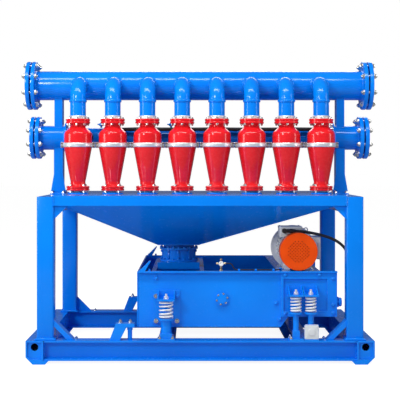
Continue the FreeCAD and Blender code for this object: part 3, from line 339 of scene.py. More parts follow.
def capped(patch):
    """The same patch with its first and last rows drawn in to their middles, which closes its ends."""
    grid, rows_closed, columns_closed = patch
    ends = [grid[:1].mean(axis=1, keepdims=True), grid[-1:].mean(axis=1, keepdims=True)]
    first, last = [np.broadcast_to(end, (1, grid.shape[1], 3)) for end in ends]
    return np.concatenate([first, grid, last]), rows_closed, columns_closed


def weld(corners, size, closed=False, ripple=0.14):
    """A weld bead along straight runs between corners: a round section whose radius is
    size * (1 + ripple * sin(2.6 * distance / size)), set out at steps of 0.8 of its size."""
    corners = np.asarray(corners, float)
    if closed:
        corners = np.vstack([corners, corners[:1]])
    runs = np.linalg.norm(np.diff(corners, axis=0), axis=1)
    travelled = np.concatenate([[0], np.cumsum(runs)])
    count = max(8, int(travelled[-1] / (size * 0.8)))
    along = np.linspace(0, travelled[-1], count)
    path = np.stack([np.interp(along, travelled, corners[:, k]) for k in range(3)], axis=1)
    if closed:
        path = path[:-1]
        along = along[:-1]
    grid, rows_closed, columns_closed = carried(circle(size, 6), path, closed)
    swell = 1 + ripple * np.sin(along / size * 2.6)
    grid = path[:, None] + (grid - path[:, None]) * swell[:, None, None]
    patch = (grid, rows_closed, columns_closed)
    return patch if closed else capped(patch)


skid_low, skid_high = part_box("skid_beam_front")
cross_low, cross_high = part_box("cross_beams")
skid_top = skid_high.z
beam_out = -skid_low.y
beam_in = -skid_high.y
beam_flange = 0.012
web_half = 0.006
cross_width = 0.08
bead = 0.0045
skid_welds = []
for edge in (-1, 1):
    for side in (-1, 1):
        x = side * (skid_high.x - bead * 0.2)
        top = skid_top - 0.001
        skid_welds.append(weld([(x, edge * beam_out, top), (x, edge * beam_in, top)], bead))
        y = edge * ((beam_out + beam_in) / 2 + web_half)
        skid_welds.append(weld([(x, y, skid_low.z + beam_flange), (x, y, skid_top - beam_flange)], bead))
    for x in (cross_low.x, cross_low.x + cross_width, cross_high.x - cross_width, cross_high.x):
        y = edge * (beam_in - bead * 0.3)
        skid_welds.append(weld([(x, y, skid_low.z + 0.01), (x, y, skid_top - 0.004)], bead))
shell("skid_welds", skid_welds, blue, sharp=60)


# Motor cable: a black rubber-sheathed lead, 16 mm thick. It leaves an elbow gland on the motor's top box,
# arches over the fan cover and drops behind the right front post, where a grommet takes it in.
rubber = Finish("black_rubber", (0.018, 0.018, 0.02), 0.5, slot="black_rubber")
rubber_grain = rubber.noise(900.0, 3.0)
rubber.set("Roughness", rubber_grain * 0.3 + 0.38)
rubber.bumped(rubber_grain, 0.0001)

cable_diameter = 0.016
cable_points = [
    (0.491, -0.412, 0.690), (0.551, -0.412, 0.690), (0.650, -0.405, 0.671), (0.715, -0.390, 0.651),
    (0.770, -0.370, 0.622), (0.812, -0.353, 0.576), (0.823, -0.350, 0.480), (0.821, -0.402, 0.412),
    (0.821, -0.4807, 0.412),
]


def cord_curve(name, points, diameter, finish):
    """A cord's smooth line: a NURBS spline with the route's points as its control points, and round."""
    line = bpy.data.curves.new(name, "CURVE")
    line.dimensions = "3D"
    line.resolution_u = 16
    line.bevel_depth = diameter / 2
    line.bevel_resolution = 5
    line.use_fill_caps = diameter > 0
    spline = line.splines.new("NURBS")
    spline.points.add(len(points) - 1)
    spline.points.foreach_set("co", np.column_stack([points, np.ones(len(points))]).ravel())
    spline.order_u = 3
    spline.use_endpoint_u = True
    line.materials.append(finish.material)
    piece = bpy.data.objects.new(name, line)
    bpy.context.scene.collection.objects.link(piece)
    return piece


def middle_line(points):
    """Places along a route's smooth line: its spline, with no section, read back as a mesh of vertices."""
    line = cord_curve("route_line", points, 0.0, rubber)
    trace = bpy.data.meshes.new_from_object(line)
    places = np.empty(3 * len(trace.vertices))
    trace.vertices.foreach_get("co", places)
    bpy.data.objects.remove(line)
    return places.reshape(-1, 3)


cable_line = middle_line(cable_points)
cable_tube = capped(carried(circle(cable_diameter / 2, 16), cable_line))
motor_lead = shell("motor_lead", [cable_tube], rubber, body=None, stands_for=["motor_cable"], sharp=60)
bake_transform(motor_lead)


# Upright frame: four square tubes with rolled corners, capped at the top and welded to foot plates, with
# channel rails, corner gussets and short braces between them. A bolt stands at the toe of each brace.
X = np.array((1.0, 0.0, 0.0))
Y = np.array((0.0, 1.0, 0.0))
Z = np.array((0.0, 0.0, 1.0))


def turned(outline, origin, axis, segments=48, closed=True):
    """An outline of (radius, height) points carried round an axis: origin + height * axis + radius *
    (cos a * side + sin a * up), for angles a round a full turn."""
    outline = np.asarray(outline, float)
    axis = np.asarray(axis, float)
    side, up = axes_of(axis)
    angle = np.linspace(0, 2 * np.pi, segments, endpoint=False)
    ring = np.outer(np.cos(angle), side) + np.outer(np.sin(angle), up)
    grid = np.asarray(origin, float) + outline[:, None, 1:2] * axis + outline[:, None, 0:1] * ring
    return grid, closed, True


def rounded(corners, radius, steps=3, closed=True):
    """A flat outline with its corners cut to arcs: each corner C becomes the curve
    (1-t)^2 * A + 2 t (1-t) * C + t^2 * B between the points A and B a radius back along its two edges."""
    corners = np.asarray(corners, float)
    radii = np.broadcast_to(radius, len(corners))
    before = np.roll(corners, 1, axis=0) - corners
    after = np.roll(corners, -1, axis=0) - corners
    span_before = np.linalg.norm(before, axis=1, keepdims=True)
    span_after = np.linalg.norm(after, axis=1, keepdims=True)
    reach = np.minimum(radii[:, None], 0.49 * np.minimum(span_before, span_after))
    start = corners + before / span_before * reach
    end = corners + after / span_after * reach
    t = np.linspace(0, 1, steps + 1)[None, :, None]
    arcs = (1 - t) ** 2 * start[:, None] + 2 * t * (1 - t) * corners[:, None] + t ** 2 * end[:, None]
    if closed:
        return arcs.reshape(-1, corners.shape[1])
    inner = arcs[1:-1].reshape(-1, corners.shape[1])
    return np.vstack([corners[:1], inner, corners[-1:]])


def soft_block(low, high, corner=0.003, edge=0.0015, axis=2):
    """A block between two opposite corners: rounded rectangles stacked along an axis, whose insets at each
    end follow a quarter circle: edge * (1 - sin a) in from the side, edge * (1 - cos a) up from the end."""
    order = [(axis + 1) % 3, (axis + 2) % 3, axis]
    low = np.asarray(low, float)[order]
    high = np.asarray(high, float)[order]
    turn = np.linspace(0, np.pi / 2, 3)
    insets = edge * (1 - np.sin(turn))
    lifts = edge * (1 - np.cos(turn))
    levels = np.append(low[2] + lifts, high[2] - lifts[::-1])
    outlines = []
    for inset, level in zip(np.append(insets, insets[::-1]), levels):
        x0, y0 = low[:2] + inset
        x1, y1 = high[:2] - inset
        flat = rounded([(x0, y0), (x1, y0), (x1, y1), (x0, y1)], max(corner - inset, corner * 0.35), steps=4)
        outlines.append(np.column_stack([flat, np.full(len(flat), level)]))
    grid, rows_closed, columns_closed = capped((np.stack(outlines), False, True))
    return grid[..., np.argsort(order)], rows_closed, columns_closed


def square_cut(bore, rim, low, high):
    """The cut through a ring, pipe or disc: the (radius, height) corners of a rectangle."""
    return [(bore, low), (rim, low), (rim, high), (bore, high)]


def fastener(origin, axis, across, height, stud=0.0, washer=True, bolt=None):
    """A hexagonal nut or head on a washer, with the end of its stud: three turned outlines on one axis,
    the first with six sides. All but the three lengths are shares of the width across the flats."""
    corner = across / math.sqrt(3)
    base = across * 0.1 if washer else 0.0
    shank = bolt if bolt else across * 0.62
    face = base + height
    head = [(0, base), (corner, base), (corner, base + height * 0.86), (corner * 0.88, face), (0, face)]
    pieces = [turned(head, origin, axis, 6, closed=False)]
    if washer:
        pieces.append(turned(square_cut(0, across * 0.66, 0, base), origin, axis, 14, closed=False))
    if stud > 0:
        top = face + stud
        root = base + height * 0.9
        end = [(0, root), (shank / 2, root), (shank / 2, top - shank * 0.12), (shank * 0.38, top), (0, top)]
        pieces.append(turned(end, origin, axis, 10, closed=False))
    return pieces


def bolted(places, axis, sizes, **fit):
    """Fasteners of one size at many places: sizes are the width across flats, the height and the stud."""
    return [part for place in places for part in fastener(place, axis, *sizes, **fit)]


def level_ring(xs, ys, z):
    """The four corners of a level rectangle, in order round it."""
    return [(xs[0], ys[0], z), (xs[1], ys[0], z), (xs[1], ys[1], z), (xs[0], ys[1], z)]


post_low, post_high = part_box("posts_front")
foot_side = 0.112
foot_thickness = 0.008
foot_top = skid_top + foot_thickness
post_side = 0.090
foot_margin = (foot_side - post_side) / 2
post_x = post_high.x - foot_margin
post_y = -(post_low.y + foot_margin)
inner_x = post_x - post_side
inner_y = post_y - post_side
frame_top = post_high.z
for row, front in (("front", -1), ("rear", 1)):
    tubes = []
    for side in (-1, 1):
        x0, x1 = sorted((side * post_x, side * inner_x))
        y0, y1 = sorted((front * post_y, front * inner_y))
        tubes.append(soft_block((x0, y0, foot_top), (x1, y1, frame_top), 0.011, 0.002))
        tubes.append(soft_block(
            (x0 - foot_margin, y0 - foot_margin, skid_top), (x1 + foot_margin, y1 + foot_margin, foot_top),
            0.004, 0.0015))
    shell("post_tubes_" + row, tubes, blue, stands_for=["posts_" + row])
painted(["top_rails", "side_rails", "front_braces", "corner_gussets"], blue)

rail_low_z = frame_top - 0.048
rail_width = 0.050
gusset_top = skid_top + 0.092
gusset_half = 0.004
post_middle_y = post_y - post_side / 2
frame_welds = []
for side in (-1, 1):
    x = side * inner_x
    for front in (-1, 1):
        face = front * post_y
        foot = level_ring((side * post_x, x), (face, front * inner_y), foot_top)
        frame_welds.append(weld(foot, bead, closed=True))
        back = front * (post_y - rail_width)
        rail = [(x, face, frame_top), (x, face, rail_low_z), (x, back, rail_low_z)]
        frame_welds.append(weld(rail, bead * 0.8))
    for y in (post_middle_y - gusset_half, post_middle_y + gusset_half):
        frame_welds.append(weld([(x, y, gusset_top), (x, y, foot_top)], bead * 0.8))
shell("frame_welds", frame_welds, blue, sharp=60)

zinc = Finish("plated_steel", (0.74, 0.74, 0.72), 0.24, metallic=1.0, slot="plated_steel")
zinc.set("Base Color", zinc.shades(zinc.noise(70.0, 4.0), (0.80, 0.80, 0.79), (0.62, 0.62, 0.58), 0.35))
zinc.set("Roughness", zinc.noise(240.0, 3.0) * 0.22 + 0.14)

toe_x = inner_x - 0.116
toe_bolt = (0.016, 0.008, 0.005)
toes = level_ring((-toe_x, toe_x), (-post_middle_y, post_middle_y), skid_top)
shell("foot_bolts", bolted(toes, Z, toe_bolt), zinc)


# Hopper: folded plate, welded along its four corners, under a flat deck. Its round neck hangs inside the
# shaker's feed sleeve.
painted(["hopper", "hopper_deck"], blue)
hopper_low, hopper_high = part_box("hopper")
hopper_rim_z = frame_top - 0.036
hopper_bead = 0.0032
outlet_x = -0.120
outlet_half = 0.120
outlet_z = 0.596
outlet_xs = (outlet_x - outlet_half, outlet_x + outlet_half)
neck_radius = 0.0825
outlet_ring = level_ring(outlet_xs, (-outlet_half, outlet_half), outlet_z)
hopper_welds = [weld(outlet_ring, hopper_bead, closed=True)]
for low_x, rim_x in zip(outlet_xs, (hopper_low.x, hopper_high.x)):
    for front in (-1, 1):
        lower = (low_x, front * outlet_half, outlet_z)
        upper = (rim_x, front * hopper_high.y, hopper_rim_z)
        hopper_welds.append(weld([lower, upper], hopper_bead))
neck_bead = [
    (neck_radius, -0.004), (neck_radius + 0.004, -0.001), (neck_radius + 0.005, 0.001), (neck_radius, 0.001)]
hopper_welds.append(turned(neck_bead, (outlet_x, 0, outlet_z - 0.005), Z, 64))
shell("hopper_welds", hopper_welds, blue, sharp=60)


# Headers: thick steel pipe, 168 mm above and 114 mm below with 140 mm ends. Each end has a pair of welded
# slip-on flanges with a rubber joint ring between them, open on the left and blind on the right.
wall = 0.007
flange_thickness = 0.022
gasket_thickness = 0.009
pipe_lap = 0.0005
pipe_edge = 0.001
overflow_low, overflow_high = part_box("overflow_header")
overflow_z = (overflow_low.z + overflow_high.z) / 2
overflow_half = overflow_high.x
overflow_radius = 0.08415
overflow_rim = (overflow_high.z - overflow_low.z) / 2
feed_low, feed_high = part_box("feed_header")
feed_z = (feed_low.z + feed_high.z) / 2
feed_half = feed_high.x
feed_radius = 0.05715
feed_end_radius = 0.06985
feed_end_length = 0.165
feed_rim = (feed_high.z - feed_low.z) / 2


def flange(bore, rim, place, out, segments=96):
    """A flange from its face outwards, with softened corners."""
    return turned(rounded(square_cut(bore, rim, 0, flange_thickness), 0.003), place, out, segments)


def pipe(radius, low, high, place, out, segments):
    """A length of pipe between two heights on its axis."""
    return turned(rounded(square_cut(radius - wall, radius, low, high), pipe_edge), place, out, segments)


def fillet(radius, size, place, out, segments):
    """A hollow weld where a pipe meets a face: its cut is a quarter circle scooped out of a square."""
    turn = np.linspace(0, np.pi / 2, 6)
    scoop = np.stack([radius + size * (1 - np.sin(turn)), size * (1 - np.cos(turn))], axis=1)
    return turned(np.vstack([scoop, [(radius - 0.001, size), (radius - 0.001, 0.0)]]), place, out, segments)


def ring_of(origin, radius, count, phase=0.0, side=X, up=Y):
    """Places on a circle: origin + radius * (cos a * side + sin a * up), for angles a evenly round it."""
    angle = 2 * np.pi * (np.arange(count) + phase) / count
    return np.asarray(origin, float) + radius * (np.outer(np.cos(angle), side) + np.outer(np.sin(angle), up))


overflow_parts = [pipe(overflow_radius, -overflow_half, overflow_half, (0, 0, overflow_z), X, 96)]
for side in (-1, 1):
    face = (side * (overflow_half - flange_thickness), 0, overflow_z)
    overflow_parts.append(flange(overflow_radius - pipe_lap, overflow_rim, face, side * X))
    overflow_parts.append(fillet(overflow_radius, 0.009, face, -side * X, 96))
shell("overflow_pipe_run", overflow_parts, blue, stands_for=["overflow_header"])

cone_boxes = [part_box("cyclone_cone_%d" % number) for number in range(1, 9)]
cone_low, cone_high = cone_boxes[0]
cyclone_xs = [(low.x + high.x) / 2 for low, high in cone_boxes]
cyclone_y = (cone_low.y + cone_high.y) / 2
inlet_offset = 0.042
inlet_reach = 0.104
ring_x = feed_half - feed_end_length
ring_plate = rounded(square_cut(feed_radius - wall / 2, 0.088, 0, 0.010), 0.002)
feed_parts = [pipe(feed_radius, -ring_x, ring_x, (0, 0, feed_z), X, 80)]
for side in (-1, 1):
    inner = (side * ring_x, 0, feed_z)
    feed_parts.append(pipe(feed_end_radius, 0, feed_end_length, inner, side * X, 80))
    feed_parts.append(turned(ring_plate, inner, -side * X, 80))
    feed_parts.append(fillet(feed_end_radius, 0.007, inner, side * X, 80))
    face = (side * (feed_half - flange_thickness), 0, feed_z)
    feed_parts.append(flange(feed_end_radius - pipe_lap, feed_rim, face, side * X, 80))
    feed_parts.append(fillet(feed_end_radius, 0.008, face, -side * X, 80))
stub_radius = 0.028
stub_front = cyclone_y + inlet_reach
stub = square_cut(stub_radius - 0.006, stub_radius, 0, -stub_front)
for x in cyclone_xs:
    feed_parts.append(turned(stub, (x + inlet_offset, stub_front, feed_z), Y, 40))
shell("feed_pipe_run", feed_parts, blue, stands_for=["feed_header"])

header_ends = [
    ("overflow", overflow_half, overflow_z, overflow_radius, overflow_rim, 0.240),
    ("feed", feed_half, feed_z, feed_end_radius, feed_rim, 0.206),
]
header_nut = (0.026, 0.0104, 0.007)
stud_diameter = 0.016
stud_run = 2 * flange_thickness + gasket_thickness
shank = square_cut(0, stud_diameter / 2, -0.001, stud_run + 0.001)
gaskets = []
studs = []
for name, half, z, radius, rim, bolt_circle in header_ends:
    start = half + gasket_thickness
    ends = [flange(radius - wall / 2, rim, (-start, 0, z), -X), flange(0, rim, (start, 0, z), X)]
    shell(name + "_outer_flanges", ends, blue, stands_for=[name + "_end_flanges"])
    gasket = square_cut(radius - wall, bolt_circle / 2 - 0.012, 0, gasket_thickness)
    for side in (-1, 1):
        out = side * X
        gaskets.append(turned(gasket, (side * half, 0, z), out, 64))
        places = ring_of((side * (half - flange_thickness), 0, z), bolt_circle / 2, 8, 0.5, Y, Z)
        studs += bolted(places, -out, header_nut, bolt=stud_diameter)
        studs += bolted(places + out * stud_run, out, header_nut, bolt=stud_diameter)
        studs += [turned(shank, place, out, 12, closed=False) for place in places]
shell("joint_rings", gaskets, rubber, stands_for=["flange_gaskets"])
shell("flange_bolts", studs, zinc, stands_for=["flange_studs"])


# Header supports: box struts with a splayed rib each side of the foot, bolted to the side rails, and a
# shorter strut between the two headers.
painted(["feed_header_supports", "overflow_header_supports"], blue)
support_x = (post_x + inner_x) / 2
support_half = 0.026
upper_half = 0.023
depth_half = 0.040
support_bead = 0.0034
support_bolt = (0.017, 0.009, 0.006)
bolt_spread = (0.032, 0.050)
deck_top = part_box("hopper_deck")[1].z
saddles = [
    (support_half, feed_z, feed_end_radius, -1), (upper_half, feed_z, feed_end_radius, 1),
    (upper_half, overflow_z, overflow_radius, -1)]
support_bolts = []
support_welds = []
for side in (-1, 1):
    x = side * support_x
    bolt_xs = (x - bolt_spread[0], x + bolt_spread[0])
    support_bolts += bolted(level_ring(bolt_xs, (-bolt_spread[1], bolt_spread[1]), deck_top), Z, support_bolt)
    foot = level_ring((x - support_half, x + support_half), (-depth_half, depth_half), deck_top)
    support_welds.append(weld(foot, 0.0035, closed=True))
    for half_width, z, radius, toward in saddles:
        lean = math.asin(depth_half / radius)
        turn = np.linspace(-lean, lean, 9)
        end_z = z + toward * radius * math.cos(lean)
        for edge in (-half_width, half_width):
            arc = [np.full(9, x + edge), radius * np.sin(turn), z + toward * radius * np.cos(turn)]
            support_welds.append(weld(np.stack(arc, axis=1), support_bead))
        for y in (-depth_half, depth_half):
            support_welds.append(weld([(x - half_width, y, end_z), (x + half_width, y, end_z)], support_bead))
shell("support_bolts", support_bolts, zinc)
shell("support_welds", support_welds, blue, sharp=60)


# Overflow bends: 89 mm pipe rising from each cyclone, with a socket ring under the bend and a collar
# welded round the branch into the header.
head_low, head_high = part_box("cyclone_head_1")
pipe_radius = 0.04445
elbow_radius = 0.095
bend_low_z = overflow_z - elbow_radius
joint_ring_height = 0.018
turn = np.linspace(0, np.pi / 2, 19)
drop_z = np.linspace(head_high.z + joint_ring_height, bend_low_z - 0.004, 4)
run_y = cyclone_y + elbow_radius + np.array((0.01, 0.03))
bend_y = np.concatenate([np.full(4, cyclone_y), cyclone_y + elbow_radius * (1 - np.cos(turn)), run_y])
bend_z = np.concatenate([drop_z, bend_low_z + elbow_radius * np.sin(turn), np.full(2, overflow_z)])
socket_rim = 0.0492
socket = rounded([
    (pipe_radius - 0.001, -0.012), (socket_rim, -0.012), (socket_rim + 0.0008, -0.004), (socket_rim, 0.0),
    (pipe_radius, 0.003)], 0.0015)
branch = circle(pipe_radius + 0.002, 48)
branch_y = -np.sqrt(overflow_radius ** 2 - branch[:, 1] ** 2) - 0.001
bends = []
for x in cyclone_xs:
    path = np.stack([np.full(len(bend_y), x), bend_y, bend_z], axis=1)
    bends.append(capped(carried(circle(pipe_radius, 40), path)))
    bends.append(turned(socket, (x, cyclone_y, bend_low_z), Z, 48))
    saddle = np.stack([x + branch[:, 0], branch_y, overflow_z + branch[:, 1]], axis=1)
    bends.append(weld(saddle, 0.0052, closed=True))
shell("overflow_bends", bends, blue, stands_for=["overflow_pipes"])


# Cyclones: heads and cones cast in red polyurethane, with a gloss skin. Each flange is a pair of discs
# with a groove between them, and the shoulder and waist run over in soft curves.
red = Finish("red_polyurethane", (0.82, 0.012, 0.018), 0.26, coat=0.8, slot="red_polyurethane")
red.set("Coat Roughness", 0.1)
red.set("Specular IOR Level", 0.1)
red.set("Base Color", red.shades(red.noise(9.0, 3.0), (0.76, 0.010, 0.016), (0.88, 0.016, 0.022)))
red.set("Roughness", red.noise(60.0, 4.0) * 0.14 + 0.2)
red.bumped(red.noise(60.0, 2.0), 0.00008)


def lathed(rows, x):
    """Half a cyclone, turned from rows of (radius, height, softness), the reach of each corner's arc."""
    rows = np.array(rows)
    return turned(rounded(rows[:, :2], rows[:, 2], 5), (x, cyclone_y, 0), Z, 72)


joint_z = head_low.z
head_top = head_high.z
cone_floor = cone_low.z
barrel_bore = 0.065
barrel_radius = 0.079
neck_outer = 0.0435
flange_radius = 0.0685
groove_radius = 0.065
apex_bore = 0.027
waist_radius = 0.042
cone_rim = 0.065
cone_groove = 0.0615
head_rows = [
    (barrel_bore, joint_z, 0.001), (barrel_radius, joint_z, 0.001), (barrel_radius, 1.226, 0.012),
    (0.072, 1.240, 0.010), (0.052, 1.258, 0.012), (neck_outer, 1.268, 0.010), (neck_outer, 1.280, 0.004),
    (flange_radius - 0.003, 1.284, 0.002), (flange_radius, 1.286, 0.001), (flange_radius, 1.2955, 0.0025),
    (groove_radius, 1.2965, 0.0008), (groove_radius, 1.2995, 0.001), (flange_radius, 1.3005, 0.001),
    (flange_radius, head_top, 0.0025), (apex_bore, head_top, 0.0025), (apex_bore, 1.247, 0.002),
    (barrel_bore, 1.224, 0.004)]
cone_rows = [
    (barrel_bore, joint_z, 0.001), (barrel_radius, joint_z, 0.001), (barrel_radius, 1.150, 0.006),
    (0.0745, 1.128, 0.02), (0.0455, 0.972, 0.01), (waist_radius, 0.958, 0.006), (waist_radius, 0.935, 0.004),
    (cone_rim - 0.003, 0.931, 0.002), (cone_rim, 0.929, 0.0025), (cone_rim, 0.9205, 0.001),
    (cone_groove, 0.9195, 0.0008), (cone_groove, 0.9165, 0.0008), (cone_rim, 0.9155, 0.001),
    (cone_rim, cone_floor, 0.0025), (apex_bore, cone_floor, 0.001), (apex_bore, 0.931, 0.001)]
inlet_outline = square_cut(stub_radius - wall, stub_radius, 0.03, inlet_reach)
for number, x in enumerate(cyclone_xs, 1):
    inlet = turned(inlet_outline, (x + inlet_offset, cyclone_y, feed_z), Y, 40)
    shell("red_head_%d" % number, [lathed(head_rows, x), inlet], red,
          stands_for=["cyclone_head_%d" % number])
    shell("red_cone_%d" % number, [lathed(cone_rows, x)], red,
          stands_for=["cyclone_cone_%d" % number])

painted(["apex_nozzles"], red)
painted(["inlet_couplings"], rubber)


# Cyclone hardware: eight screws through each top flange, four through each cone flange, a pressed steel
# ring under each pipe, and a band clamp in bright steel with a bolted lug on each side.
screw_rows = [
    (head_top, 0.0575, 8, 0.0, Z, (0.012, 0.006, 0.003)),
    (1.284, 0.0575, 8, 0.0, -Z, (0.012, 0.007, 0.004)),
    (0.931, 0.0535, 4, 0.5, Z, (0.014, 0.008, 0.004)),
    (cone_floor, 0.0535, 4, 0.5, -Z, (0.013, 0.005, 0.0)),
]
pressed = rounded([
    (0.027, 0), (0.050, 0), (0.050, 0.0035), (0.0475, 0.0045), (0.0475, 0.0095), (0.0495, 0.0105),
    (0.0495, 0.0135), (0.047, joint_ring_height), (0.027, joint_ring_height)], 0.001, 2)
nozzle_band = rounded(square_cut(0.0312, 0.0365, 0, 0.007), 0.001, 2)
screws = []
joint_rings = []
for x in cyclone_xs:
    for z, radius, count, phase, axis, sizes in screw_rows:
        screws += bolted(ring_of((x, cyclone_y, z), radius, count, phase), axis, sizes)
    joint_rings.append(turned(pressed, (x, cyclone_y, head_top), Z, 56))
    joint_rings.append(turned(nozzle_band, (x, cyclone_y, cone_floor - 0.0075), Z, 48))
shell("cyclone_screws", screws, zinc)

bright = Finish("bright_steel", (0.80, 0.81, 0.81), 0.3, metallic=0.45, coat=0.25, slot="plated_steel")
bright_brush = bright.add("ShaderNodeMapping", None, {"Vector": bright.place, "Scale": (30.0, 30.0, 900.0)})
bright_lines = bright.add("ShaderNodeTexNoise", None, {"Vector": bright_brush, "Scale": 1.0, "Detail": 3.0})
bright.set("Roughness", bright_lines * 0.25 + 0.2)
bright.set("Base Color", bright.shades(
    bright.noise(60.0, 3.0), (0.86, 0.87, 0.87), (0.72, 0.73, 0.74), high=0.75))
bright.bumped(bright_lines, 0.00005)
shell("pipe_joint_rings", joint_rings, bright, stands_for=["joint_plates"])

clamp_low, clamp_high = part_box("cyclone_clamps")
clamp_z = (clamp_low.z + clamp_high.z) / 2
clamp_half = 0.012
band_inner = barrel_radius + 0.0003
band_outer = band_inner + 0.005
band_root = band_outer - 0.002
lug_end = clamp_high.x - cyclone_xs[-1]
lug_gap = 0.0015
lug_back = 0.013
lug_bolt_x = lug_end - 0.0065
lug_bolt_z = 0.0088
band = rounded([
    (band_inner, -clamp_half), (band_root, -clamp_half), (band_outer, -clamp_half + 0.005),
    (band_outer, clamp_half - 0.005), (band_root, clamp_half), (band_inner, clamp_half)], 0.0012, 3)
bands = []
clamp_bolts = []
for x in cyclone_xs:
    bands.append(turned(band, (x, cyclone_y, clamp_z), Z, 72))
    for side in (-1, 1):
        x0, x1 = sorted((x + side * band_root, x + side * lug_end))
        bolt_x = x + side * lug_bolt_x
        for front, stud in ((-1, 0.003), (1, 0.004)):
            y0, y1 = sorted((cyclone_y + front * lug_gap, cyclone_y + front * lug_back))
            bands.append(soft_block((x0, y0, clamp_low.z), (x1, y1, clamp_high.z), 0.002, 0.0012))
            lug_face = cyclone_y + front * lug_back
            places = [(bolt_x, lug_face, clamp_z - lug_bolt_z), (bolt_x, lug_face, clamp_z + lug_bolt_z)]
            clamp_bolts += bolted(places, front * Y, (0.0105, 0.006, stud))
shell("band_clamps", bands, bright, stands_for=["cyclone_clamps"])
shell("clamp_bolts", clamp_bolts, zinc)


# Underflow collars: flanged sleeves in blue enamel on the deck, one under each cone, each held down by
# four small bolts.
collar_flange = 0.0065
collar_outline = rounded([
    (0.037, 0), (0.059, 0), (0.059, collar_flange), (0.047, 0.0075), (0.042, 0.010), (0.037, 0.010)],
    0.0012, 3)
collars = []
collar_bolts = []
for x in cyclone_xs:
    collars.append(turned(collar_outline, (x, cyclone_y, deck_top), Z, 56))
    places = ring_of((x, cyclone_y, deck_top + collar_flange), 0.0525, 4, 0.5)
    collar_bolts += bolted(places, Z, (0.009, 0.004, 0.002))
shell("deck_collars", collars, blue, stands_for=["underflow_collars"])
shell("collar_bolts", collar_bolts, zinc)


# Feed sleeve and feed box: a flanged steel sleeve around the hopper's neck, held down on the box by flat
# straps with a bolt at each end. It is loose on the neck, so the shaker can bounce under it.
def swung(patch, centre, angle):
    """The same patch turned about an upright axis: x' = x cos a - y sin a and y' = x sin a + y cos a,
    measured from the centre."""
    grid, rows_closed, columns_closed = patch
    cosine, sine = math.cos(angle), math.sin(angle)
    turn = np.array([(cosine, sine, 0.0), (-sine, cosine, 0.0), (0.0, 0.0, 1.0)])
    return (grid - centre) @ turn + centre, rows_closed, columns_closed


painted(["feed_box", "feed_sleeve"], blue)
sleeve_low, sleeve_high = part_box("feed_sleeve")
sleeve_centre = outlet_x * X
sleeve_radius = 0.098
sleeve_flange = 0.009
strap_face = sleeve_radius + 0.004
strap_half = 0.007
strap_count = 10
rim_bolts_radius = 0.1045
foot_bolts_phase = 0.9775
small_bolt = (0.010, 0.005, 0.002)
strap = soft_block(
    (outlet_x + sleeve_radius - 0.001, -strap_half, sleeve_low.z + sleeve_flange),
    (outlet_x + strap_face, strap_half, sleeve_high.z - sleeve_flange), 0.002, 0.001)
straps = []
rim_places = ring_of(sleeve_centre + Z * sleeve_high.z, rim_bolts_radius, 2 * strap_count)
strap_bolts = bolted(rim_places, Z, (0.011, 0.006, 0.003))
foot_z = sleeve_low.z + sleeve_flange
strap_bolts += bolted(
    ring_of(sleeve_centre + Z * foot_z, rim_bolts_radius, strap_count, foot_bolts_phase), Z, small_bolt)
for step in range(strap_count):
    angle = 2 * math.pi * (step + 0.5) / strap_count
    straps.append(swung(strap, sleeve_centre, angle))
    out = np.array((math.cos(angle), math.sin(angle), 0.0))
    ends = [sleeve_centre + out * strap_face + Z * z for z in (sleeve_low.z + 0.020, sleeve_high.z - 0.020)]
    strap_bolts += bolted(ends, out, small_bolt)
shell("sleeve_straps", straps, blue, body="basket")
shell("sleeve_bolts", strap_bolts, blue, body="basket")


# Shaker basket: a trough of 8 mm plate with turned-out lips, welded at the corners, with a doubler plate
# behind the single spring and a raised frame at the discharge end, all in the same blue enamel.
painted(["shaker_basket", "spring_seats", "shaft_housing", "motor_plate"], blue)
basket_low, basket_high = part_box("shaker_basket")
basket_left = basket_low.x
basket_right = basket_high.x
basket_floor = basket_low.z
basket_wall_y = 0.490
basket_top = 0.480
doubler_face = basket_wall_y + 0.008
tail_face = basket_wall_y + 0.012
tail_left = 0.435
wall_bead = 0.0035
lip_bead = 0.0028
lip_z = basket_top - 0.009
basket_welds = []
for front in (-1, 1):
    y = front * basket_wall_y
    high = basket_top - 0.004
    basket_welds.append(weld([(basket_left, y, high), (basket_left, y, basket_floor)], wall_bead))
    low = basket_floor + 0.001
    basket_welds.append(weld([(basket_left, y, low), (tail_left, y, low)], wall_bead))
    y = front * (basket_wall_y + 0.001)
    basket_welds.append(weld([(basket_left + 0.01, y, lip_z), (basket_right - 0.01, y, lip_z)], lip_bead))
shell("basket_welds", basket_welds, blue, body="basket", sharp=60)


def on_walls(places, depth, sizes):
    """Fasteners at the same (x, z) places on the front and the rear wall, a depth out from the middle."""
    parts = []
    for front in (-1, 1):
        parts += bolted([(x, front * depth, z) for x, z in places], front * Y, sizes)
    return parts


wall_bolt = (0.019, 0.010, 0.005)
tail_bolt = (0.017, 0.008, 0.004)
tail_bolt_places = [
    (0.456, 0.462), (0.456, 0.255), (0.640, 0.462), (0.713, 0.440), (0.713, 0.300), (0.713, 0.255),
    (0.590, 0.250)]
blue_bolts = on_walls([(-0.1235, 0.346)], doubler_face, wall_bolt)
blue_bolts += on_walls(tail_bolt_places, tail_face, tail_bolt)
blue_bolts += on_walls([(-0.236, 0.443), (0.408, 0.309), (0.428, 0.222)], basket_wall_y, wall_bolt)
shell("basket_bolts", blue_bolts, blue, body="basket")

